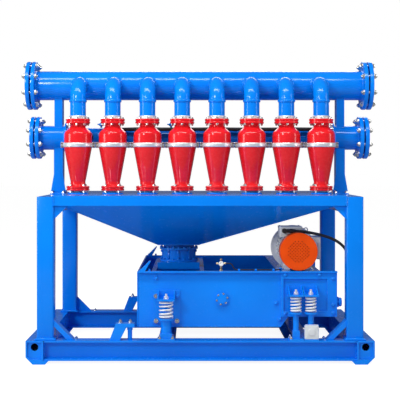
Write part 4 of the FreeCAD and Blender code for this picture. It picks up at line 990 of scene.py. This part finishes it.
cap_x = 0.118
cap_z = 0.331
cap_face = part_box("shaft_housing")[1].y
raised = rounded(square_cut(0, 0.025, 0, 0.004), 0.0015, closed=False)
cap_rims = []
for front in (-1, 1):
    cap_rims.append(turned(raised, (cap_x, front * cap_face, cap_z), front * Y, 40, closed=False))
shell("shaft_cap_faces", cap_rims, blue, body="basket")
pale_bolts = on_walls([(-0.236, 0.346), (-0.236, 0.2125), (-0.1235, 0.2125)], doubler_face, wall_bolt)
cap_ring = ring_of((cap_x, 0, cap_z), 0.0288, 6, 0.25, X, Z)
pale_bolts += on_walls(cap_ring[:, [0, 2]], cap_face, (0.008, 0.004, 0.002))
shell("basket_nuts", pale_bolts, zinc, body="basket")


# Screen: woven stainless cloth stretched over a frame of square bars. The real wires are too fine to tell
# apart from a step away, so a coarser lay of the same over and under stands for them.
steel = Finish("screen_steel", (0.50, 0.51, 0.52), 0.38, metallic=1.0)
steel.set("Roughness", steel.noise(80.0, 3.0) * 0.25 + 0.28)
painted(["screen_frame"], steel)
cloth = Finish("woven_cloth", (0.45, 0.46, 0.47), 0.42, metallic=1.0, slot="screen_steel")
wires = [
    cloth.add("ShaderNodeTexWave", {"bands_direction": way}, {"Vector": cloth.place, "Scale": 45.0})
    for way in ("X", "Y")]
lay = wires[0] * wires[1]
cloth.set("Base Color", cloth.mixed(lay, (0.16, 0.17, 0.18, 1), (0.62, 0.63, 0.64, 1)))
cloth.bumped(lay, 0.0008)
screen_low, screen_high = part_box("screen_frame")
cloth_thickness = 0.0008
cloth_margin = 0.001
cloth_rise = 0.0012
cloth_sag = 0.0006
bay_x = 0.1028
bay_y = 0.190
cloth_x = np.linspace(screen_low.x + cloth_margin, screen_high.x - cloth_margin, 61)
cloth_y = np.linspace(screen_low.y + cloth_margin, screen_high.y - cloth_margin, 41)
dip_x = np.sin(np.pi * (cloth_x - cloth_x[0]) / bay_x) ** 2
dip_y = np.sin(np.pi * (cloth_y - cloth_y[0]) / bay_y) ** 2
level = screen_high.z + cloth_rise - cloth_sag * np.outer(dip_x, dip_y)
upper = np.stack([*np.meshgrid(cloth_x, cloth_y, indexing="ij"), level], axis=-1)
under = upper - cloth_thickness * Z
edge = np.concatenate([upper[0], upper[1:-1, -1], upper[-1, ::-1], upper[-2:0:-1, 0]])
rim = np.stack([edge, edge - cloth_thickness * Z])
cloth_patches = [(upper, False, False), (under, False, False), (rim, False, True)]
shell("screen_cloth", cloth_patches, cloth, body="basket")


# Springs: coils of 9 mm round wire in white paint, with their end turns closed and flat. Each stands on a
# blue pedestal on the skid beam, and carries the basket's bracket on a stud.
white = Finish("white_spring_paint", (0.80, 0.81, 0.81), 0.35, coat=0.2, slot="white_spring_paint")
white.set("Base Color", white.shades(
    white.noise(55.0, 4.0), (0.82, 0.83, 0.83), (0.68, 0.69, 0.69), 0.5, 0.75))
white.set("Roughness", white.noise(130.0) * 0.2 + 0.26)
painted(["spring_stands"], blue)
beam_y = 0.563
wire_radius = 0.0045
spring_turns = 5.5


def coil_line(x, y, low, high, radius):
    """The middle line of a spring: a helix of radius r about an upright axis. It climbs 1.7 wire radii over
    the first turn and over the last, and evenly between."""
    turns = np.linspace(0, spring_turns, int(spring_turns * 36))
    first = low + wire_radius
    last = high - wire_radius
    climb = 1.7 * wire_radius
    bends = [0, 1, spring_turns - 1, spring_turns]
    heights = np.interp(turns, bends, [first, first + climb, last - climb, last])
    around = 2 * np.pi * turns
    return np.stack([x + radius * np.cos(around), y + radius * np.sin(around), heights], axis=1)


springs = [
    ("springs_left", "round_springs_left", [-0.180], 0.076),
    ("springs_right", "round_springs_right", [0.508, 0.587], 0.060),
]
shelf_rise = 0.0093
bush = rounded(square_cut(0, 0.014, 0, 0.004), 0.001, closed=False)
spring_studs = []
for node_name, name, xs, diameter in springs:
    low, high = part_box(node_name)
    coils = []
    for x in xs:
        for front in (-1, 1):
            line = coil_line(x, front * beam_y, low.z, high.z, diameter / 2 - wire_radius)
            coils.append(capped(carried(circle(wire_radius, 10), line)))
            shelf = (x, front * beam_y, high.z + shelf_rise)
            spring_studs += fastener(shelf, Z, 0.021, 0.012, 0.012)
            spring_studs.append(turned(bush, shelf, Z, 24, closed=False))
    coil_piece = shell(name, coils, white, body=None, stands_for=[node_name], sharp=60)
    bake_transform(coil_piece)
shell("spring_studs", spring_studs, bright, body="basket")

# Beside the junction box, the two stands on the front right have bolts on their left only.
stand_places = []
for x, reach in ((-0.180, 0.034), (0.508, 0.029), (0.587, 0.029)):
    for front in (-1, 1):
        for side in (-1,) if front < 0 < x else (-1, 1):
            for y in (beam_y - 0.030, beam_y + 0.034):
                stand_places.append((x + side * reach, front * y, foot_top))
shell("stand_bolts", bolted(stand_places, Z, (0.013, 0.008, 0.006)), zinc)


# Motor: a cast aluminium body with cooling fins, in pale grey paint, and a pressed fan cover in orange
# enamel. Behind the cover's grille a black fan turns with the shaft. Its two boxes are pressed steel.
grey = Finish("motor_grey", (0.88, 0.89, 0.89), 0.4, coat=0.15)
grey_cast = grey.noise(240.0, 3.0)
grey.set("Base Color", grey.shades(grey.noise(12.0), (0.85, 0.86, 0.86), (0.91, 0.92, 0.92)))
grey.set("Roughness", grey_cast * 0.25 + 0.3)
grey.bumped(grey_cast, 0.0002, grey.rounded_edges(0.0012))
painted(["motor_body"], grey)

orange = Finish("orange_enamel", (0.80, 0.073, 0.003), 0.32, coat=0.2)
orange.set("Specular IOR Level", 0.1)
orange.set("Base Color", orange.shades(orange.noise(14.0), (0.76, 0.066, 0.003), (0.84, 0.080, 0.004)))
orange.set("Roughness", orange.noise(120.0) * 0.16 + 0.24)
orange.bumped(orange.noise(210.0), 0.0001, orange.rounded_edges(0.004))
painted(["motor_fan_cover"], orange)

cover_low, cover_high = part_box("motor_fan_cover")
motor_x = (cover_low.x + cover_high.x) / 2
motor_z = (cover_low.z + cover_high.z) / 2
fan_y = cover_low.y + 0.012
blade_count = 9
blade_half = 0.012
leaf_half = 0.001
blade_radii = np.linspace(0.028, 0.088, 6)
hub = rounded([
    (0, 0.002), (0.030, 0.002), (0.034, 0.02), (0.092, 0.03), (0.092, 0.033), (0, 0.033)],
    0.002, closed=False)
fan_parts = [turned(hub, (motor_x, fan_y, motor_z), Y, 40, closed=False)]
blade_middle = np.array((motor_x, fan_y + 0.016, motor_z))
for step in range(blade_count):
    angle = 2 * math.pi * step / blade_count
    out = np.array((math.cos(angle), 0.0, math.sin(angle)))
    aside = np.array((-math.sin(angle), 0.0, math.cos(angle)))
    line = blade_middle + blade_radii[:, None] * out
    corners = [-blade_half * Y - leaf_half * aside, blade_half * Y - leaf_half * aside]
    corners += [-corners[0], -corners[1]]
    leaf = line[:, None] + np.array(corners)[None]
    fan_parts.append(capped((leaf, False, True)))
shell("cooling_fan", fan_parts, rubber, body="basket")

cover_radius = 0.1005
cover_middle = np.array((motor_x, cover_high.y - 0.010, motor_z))
cover_screws = []
for out in ring_of((0, 0, 0), 1.0, 4, 0.5, X, Z):
    cover_screws += fastener(cover_middle + out * cover_radius, out, 0.008, 0.004, washer=False)
shell("cover_screws", cover_screws, zinc, body="basket")

pale = Finish("box_grey", (0.66, 0.69, 0.71), 0.42, coat=0.1, slot="motor_grey")
pale.set("Roughness", pale.noise(160.0, 3.0) * 0.2 + 0.34)
pale.set("Base Color", pale.shades(pale.noise(18.0), (0.63, 0.66, 0.68), (0.69, 0.72, 0.74)))
pale.bumped(pale.noise(300.0, 2.0), 0.00012)
lid_depth = 0.014
lid_lip = 0.0015
lid_rise = 0.001


def lidded(low, high, axis):
    """A pressed box and its lid, which covers its end on an axis and stands a lip proud of its sides."""
    out = np.eye(3)[axis]
    proud = lid_lip * (1 - out)
    seat = np.where(out > 0, high - lid_depth, low)
    box = soft_block(low, high - lid_depth * out, 0.012, 0.001, axis)
    return [box, soft_block(seat - proud, high + proud + lid_rise * out, 0.013, 0.003, axis)]


boxes_low, boxes_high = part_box("terminal_boxes")
top_low = np.array((0.436, boxes_low.y, boxes_high.z - 0.056))
top_high = np.array((0.560, boxes_high.y, boxes_high.z))
side_low = np.array((boxes_high.x - 0.056, boxes_low.y, boxes_low.z))
side_high = np.array((boxes_high.x, boxes_high.y, boxes_low.z + 0.124))
box_parts = lidded(top_low, top_high, 2) + lidded(side_low, side_high, 0)
shell("connection_boxes", box_parts, pale, body="basket", stands_for=["terminal_boxes"])
lid_face = 0.0008
lid_screw = (0.007, 0.003)
lid_screws = []
for across in (0.010, 0.114):
    for along in (0.010, 0.106):
        top = (top_low[0] + across, top_low[1] + along, top_high[2] + lid_face)
        lid_screws += fastener(top, Z, *lid_screw, washer=False)
        side = (side_high[0] + lid_face, side_low[1] + along, side_low[2] + across)
        lid_screws += fastener(side, X, *lid_screw, washer=False)
shell("lid_screws", lid_screws, zinc, body="basket")
painted(["motor_gland", "cable_grommet"], rubber)
feet = level_ring((motor_x - 0.083, motor_x + 0.083), (-0.375, -0.215), basket_top + 0.001)
shell("motor_plate_bolts", bolted(feet, Z, (0.014, 0.008, 0.005)), zinc, body="basket")
relief = rounded([(0.0082, 0.0), (0.0125, 0.0), (0.0118, 0.008), (0.0092, 0.030), (0.0082, 0.030)], 0.0006, 3)
shell("cable_relief", [turned(relief, cable_points[0], X, 28)], rubber, body="basket")


# Junction box: pressed steel in pale grey, screwed to the last stand on the front right, with a round
# knock-out plug in the middle of its lid.
junction_half = 0.0374
junction_x = 0.587
junction_z = foot_top + 0.0373
junction_front = -(beam_y + 0.0444)
junction_back = -(beam_y + 0.0189)
screw_half = 0.029
plug = rounded([(0, 0), (0.020, 0), (0.020, 0.003), (0.017, 0.0045), (0, 0.0045)], 0.001, closed=False)
junction_places = [
    (junction_x + dx, junction_front, junction_z + dz)
    for dx in (-screw_half, screw_half) for dz in (-screw_half, screw_half)]
junction = bolted(junction_places, -Y, lid_screw, washer=False)
junction.append(soft_block(
    (junction_x - junction_half, junction_front, junction_z - junction_half),
    (junction_x + junction_half, junction_back, junction_z + junction_half), 0.006, 0.002, axis=1))
junction.append(turned(plug, (junction_x, junction_front + 0.0005, junction_z), -Y, 40, closed=False))
shell("junction_box", junction, pale)


# Grease valve: a white hand wheel on a small brass block, which stands on the basket's front lip, with a
# black-painted steel pipe that runs along the wall to the motor plate.
brass = Finish("brass", (0.62, 0.48, 0.26), 0.3, metallic=1.0, slot="plated_steel")
brass.set("Roughness", brass.noise(150.0, 3.0) * 0.2 + 0.22)
valve_centre = np.array((0.113, -0.486, 0.520))
valve_half = np.array((0.009, 0.008, 0.009))
valve_foot = (0.113, -0.486, basket_top)
valve_stem = square_cut(0, 0.0055, 0, 0.032)
valve_arm = square_cut(0, 0.0045, 0, 0.019)
fittings = [
    soft_block(valve_centre - valve_half, valve_centre + valve_half, 0.002, 0.001),
    turned(valve_stem, valve_centre - Z * 0.0405, Z, 16, closed=False),
]
for out in (X, -X, Z):
    fittings.append(turned(valve_arm, valve_centre + out * 0.008, out, 16, closed=False))
    fittings += fastener(valve_centre + out * 0.018, out, 0.012, 0.006, 0.003, washer=False)
fittings += fastener(valve_foot, Z, 0.017, 0.007, washer=False)
shell("grease_fittings", fittings, brass, body="basket")
wheel = rounded([
    (0, 0.006), (0.008, 0.006), (0.008, 0.010), (0.0135, 0.008), (0.0135, 0.018), (0.009, 0.020),
    (0.007, 0.017), (0, 0.017)], 0.0012, 3, closed=False)
wheel_parts = [turned(wheel, valve_centre, -Y, 36, closed=False)]
shell("grease_wheel", wheel_parts, white, body="basket")
pipe_y = -0.486
pipe_z = 0.4865
pipe_end = (0.436, -0.452, pipe_z)
pipe_line = rounded([
    valve_centre + X * 0.027, valve_centre + X * 0.057, (0.185, pipe_y, pipe_z), (0.300, pipe_y, pipe_z),
    (0.412, pipe_y, pipe_z), (0.436, -0.470, pipe_z), pipe_end], 0.014, 6, closed=False)
grease_pipes = [capped(carried(circle(0.0032, 10), pipe_line))]
shell("grease_pipe", grease_pipes, rubber, body="basket")
anchors = fastener(pipe_end, Y, 0.012, 0.008, washer=False)
for x in (0.210, 0.300, 0.395):
    anchors.append(soft_block((x - 0.006, -0.490, basket_top), (x + 0.006, -0.4822, 0.4912), 0.002, 0.001))
anchors.append(soft_block((0.428, -0.466, basket_top), (0.444, -0.440, 0.494), 0.002, 0.001))
shell("grease_pipe_clips", anchors, blue, body="basket")


# Hose on the inlet couplings: black rubber, 22 mm thick. It leaves the left valve on the feed header, lies
# over the couplings behind the cyclones and ends in the right ring plate. Each valve has a blue hand knob.
hose_diameter = 0.022
coupling_wall = 0.0063
hose_z = feed_z + stub_radius + coupling_wall + hose_diameter / 2 + 0.001
valve_y = -0.054
hose_exit_z = 1.255
hose_points = [
    (-0.5527, valve_y, hose_exit_z), (-0.5077, valve_y, hose_exit_z), (-0.440, -0.066, hose_z + 0.0004),
    (-0.340, -0.083, hose_z + 0.0025), (-0.215, -0.085, hose_z + 0.0006), (-0.060, -0.084, hose_z + 0.0003),
    (0.095, -0.076, hose_z + 0.0022), (0.240, -0.074, hose_z + 0.0005), (0.395, -0.079, hose_z + 0.0004),
    (0.530, -0.076, hose_z + 0.0020), (0.640, -0.073, hose_z + 0.0012), (0.7257, -0.076, hose_z),
    (0.7707, -0.076, hose_z),
]
header_hose = cord_curve("header_hose", hose_points, hose_diameter, rubber)
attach(header_hose, "frame")
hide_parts("manifold_hose")
stem = rounded([
    (0, 0), (0.006, 0), (0.006, 0.010), (0.013, 0.011), (0.014, 0.016), (0.013, 0.025), (0.008, 0.027),
    (0, 0.027)], 0.001, 3, closed=False)
knobs = []
for x in (-0.568, -0.164):
    top = np.array((x, valve_y, 1.266))
    knobs.append(turned(stem, top, Z, 24, closed=False))
    knobs.append(soft_block(top + (-0.0225, -0.004, 0.016), top + (0.0225, 0.004, 0.023), 0.003, 0.0015))
shell("valve_knobs", knobs, blue)
ferrule = rounded([(0.0112, 0), (0.0150, 0), (0.0150, 0.016), (0.0112, 0.018)], 0.0008, 3)
ferrules = [turned(ferrule, hose_points[0], X, 32), turned(ferrule, hose_points[-1], -X, 32)]
shell("hose_ferrules", ferrules, zinc)


# Small steelwork at the basket's ends: jack screws under the stops' heads with their bolts, the screwed
# clamps at the discharge end and the bolts of the clips on the left.
stop_z = 0.212
jack_foot = skid_top + 0.0003
clamp_y = 0.478
jack = rounded([
    (0, 0), (0.012, 0), (0.012, 0.050), (0.015, 0.052), (0.015, 0.0675), (0, 0.0675)], 0.001, 3, closed=False)
clamp = rounded([
    (0, 0), (0.010, 0), (0.010, 0.010), (0.022, 0.012), (0.025, 0.018), (0.022, 0.026), (0.009, 0.028),
    (0, 0.028)], 0.001, 3, closed=False)
stop_bolts = []
jacks = []
clamps = []
for front in (-1, 1):
    stops = [(x, front * beam_y, stop_z) for x in (-0.422, -0.370)]
    stop_bolts += bolted(stops, Z, (0.017, 0.010, 0.008))
    jacks.append(turned(jack, (-0.372, front * beam_y, jack_foot), Z, 28, closed=False))
    y = front * clamp_y
    clamps.append(turned(clamp, (basket_right, y, 0.312), X, 12, closed=False))
    clamps.append(soft_block(
        (basket_right - 0.001, y - 0.003, 0.284), (basket_right + 0.012, y + 0.003, 0.340), 0.002, 0.001))
    clips = [(x, front * 0.498, basket_top) for x in (-0.316, -0.272)]
    clamps += bolted(clips, Z, (0.012, 0.007, 0.004))
shell("stop_bolts", stop_bolts, zinc)
shell("jack_screws", jacks, blue)
shell("end_clamps", clamps, blue, body="basket")
